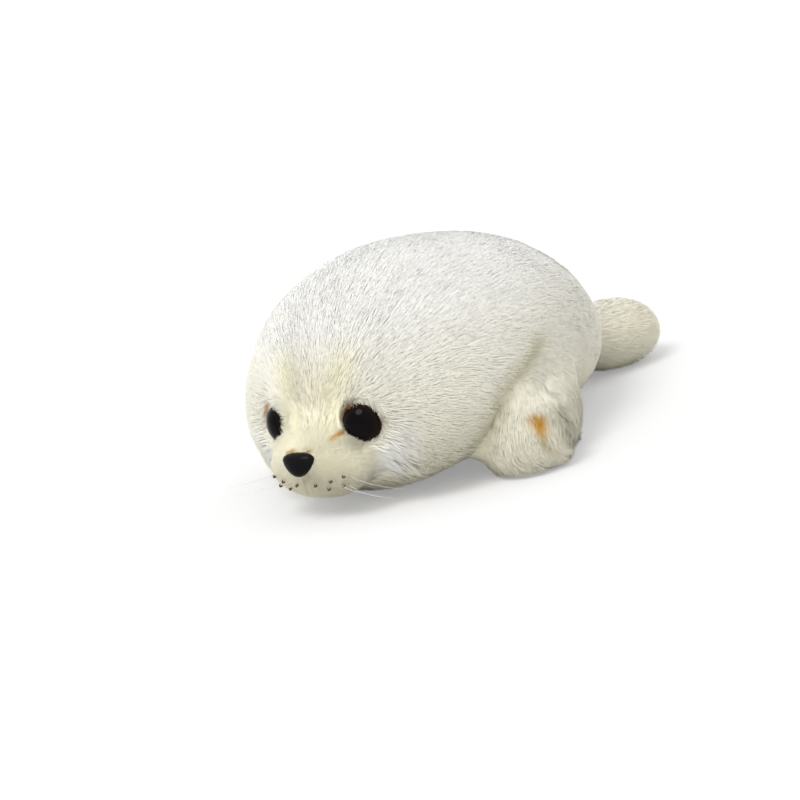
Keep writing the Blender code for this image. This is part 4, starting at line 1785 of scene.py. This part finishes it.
@dataclass
class PhotoCamera:
    """The photograph's camera, close to the floor and a little rolled.

    Args:
        azimuth: angle round the seal, in degrees.
        elevation: angle over the floor, in degrees.
        roll: how far the picture is turned, in degrees.
        distance: from the target, in metres.
        pixels: focal length in pixels of a picture 800 wide.
        target: point at which the angles are taken.
        pixel: where that point shows in the picture.
    """

    azimuth: float = 39.36
    elevation: float = 12.25
    roll: float = 12.27
    distance: float = 1.2713
    pixels: float = 2364.6
    target: Place = (0.0, -0.0205, 0.055)
    pixel: tuple[float, float] = (436.05, 348.1)
    picture: float = 800.0

    def build(self) -> bpy.types.Object:
        """Makes the camera and sets it.

        Returns:
            The camera.
        """
        around, over, roll = (math.radians(a) for a in (self.azimuth, self.elevation, self.roll))
        back = Vector((math.sin(around) * math.cos(over), -math.cos(around) * math.cos(over), math.sin(over)))
        right = Vector((math.cos(around), math.sin(around), 0.0))
        up = back.cross(right)
        turned_right = right * math.cos(roll) - up * math.sin(roll)
        turned_up = right * math.sin(roll) + up * math.cos(roll)
        place = Vector(self.target) + back * self.distance
        half = self.picture / 2.0
        aim = -back * self.pixels + turned_right * (half - self.pixel[0]) + turned_up * (self.pixel[1] - half)
        new_back = -aim.normalized()
        new_right = turned_up.cross(new_back).normalized()
        new_up = new_back.cross(new_right)
        data = bpy.data.cameras.new("photo_camera")
        data.lens = self.pixels * data.sensor_width / self.picture
        data.clip_start, data.clip_end = 0.05, 50.0
        camera = bpy.data.objects.new("photo_camera", data)
        bpy.context.scene.collection.objects.link(camera)
        turn = Matrix((new_right, new_up, new_back)).transposed()
        camera.matrix_world = Matrix.Translation(place) @ turn.to_4x4()
        bpy.context.scene.camera = camera
        return camera


LONG_FIBRE = PileFinish("long_white_pile", 0.85, 0.0)
SHORT_FIBRE = PileFinish("short_cream_pile", 0.80, 0.0)
BACKING = BackingFinish("knitted_backing", 0.0009)
EYE_GLOSS = GlossFinish("eye_gloss", (0.003, 0.002, 0.002), (0.016, 0.007, 0.004), (0.08, 0.16), 0.05, 0.04)
NOSE_GLOSS = GlossFinish("nose_satin", (0.004, 0.004, 0.005), (0.007, 0.006, 0.007), (0.24, 0.36), 0.02, 0.07)
WASHER_PLASTIC = MouldedFinish("washer_plastic", (0.80, 0.80, 0.78), (0.72, 0.72, 0.70), (0.4, 0.55))
SPOT_THREAD = ThreadFinish("brown_thread", (0.16, 0.11, 0.05), (0.07, 0.05, 0.02))
FILAMENT = NylonFinish("clear_nylon", (0.97, 0.97, 0.95), 0.85)

BODY_STRANDS = (Strand(Fibre.UNDER, 0.00092, 1.0, 0.95), Strand(Fibre.GUARD, 0.00032, 1.15, 0.05))
LIMB_STRANDS = (Strand(Fibre.UNDER, 0.00070, 1.0, 1.0),)


def main() -> None:
    """Builds every class in order."""
    logging.basicConfig(level=logging.INFO, format="%(name)s: %(message)s")
    scene = bpy.context.scene
    scene.view_settings.view_transform = "Standard"
    PhotoCamera().build()
    Studio().build()
    nodes = ("body", "muzzle", "front_flipper_left", "front_flipper_right")
    fillers = ("eye_left", "eye_right", "eye_washer_left", "eye_washer_right", "nose", "nose_washer")
    skin = Cover("cover_body", nodes, fillers, SEWN, "long_pile",
                 voxel=0.0038, fill=0.85, cap=0.0015, bridged=0.0050).build(BACKING)
    Pile("pile", SEWN, "long_pile", BODY_STRANDS, 0.0055, 5, body_panels).build(skin, LONG_FIBRE, SHORT_FIBRE)
    for side in SIDES:
        node = f"hind_flipper_{side}"
        skin = Cover(f"cover_{node}", (node,), (), HIND, "long_pile",
                     voxel=0.0035, fill=0.8, cap=0.0010).build(BACKING)
        pile = Pile(f"pile_{node}", HIND, "long_pile", LIMB_STRANDS, 0.0045, 9, one_panel)
        pile.build(skin, LONG_FIBRE, SHORT_FIBRE)
        Eye(side, Seat.of(f"eye_{side}", f"eye_washer_{side}")).build(EYE_GLOSS)
    Nose().build(NOSE_GLOSS)
    dress_nodes("eye_washer", WASHER_PLASTIC.material())
    dress_nodes("nose_washer", WASHER_PLASTIC.material())
    filament, spun = FILAMENT.material(), SPOT_THREAD.material()
    for index, node in enumerate(name for name in frame["nodes"] if name.startswith("whisker")):
        if "spot" in node:
            Stitches(node, index).build(spun)
        else:
            Whisker(node).build(filament)


if __name__ == "__main__":
    main()
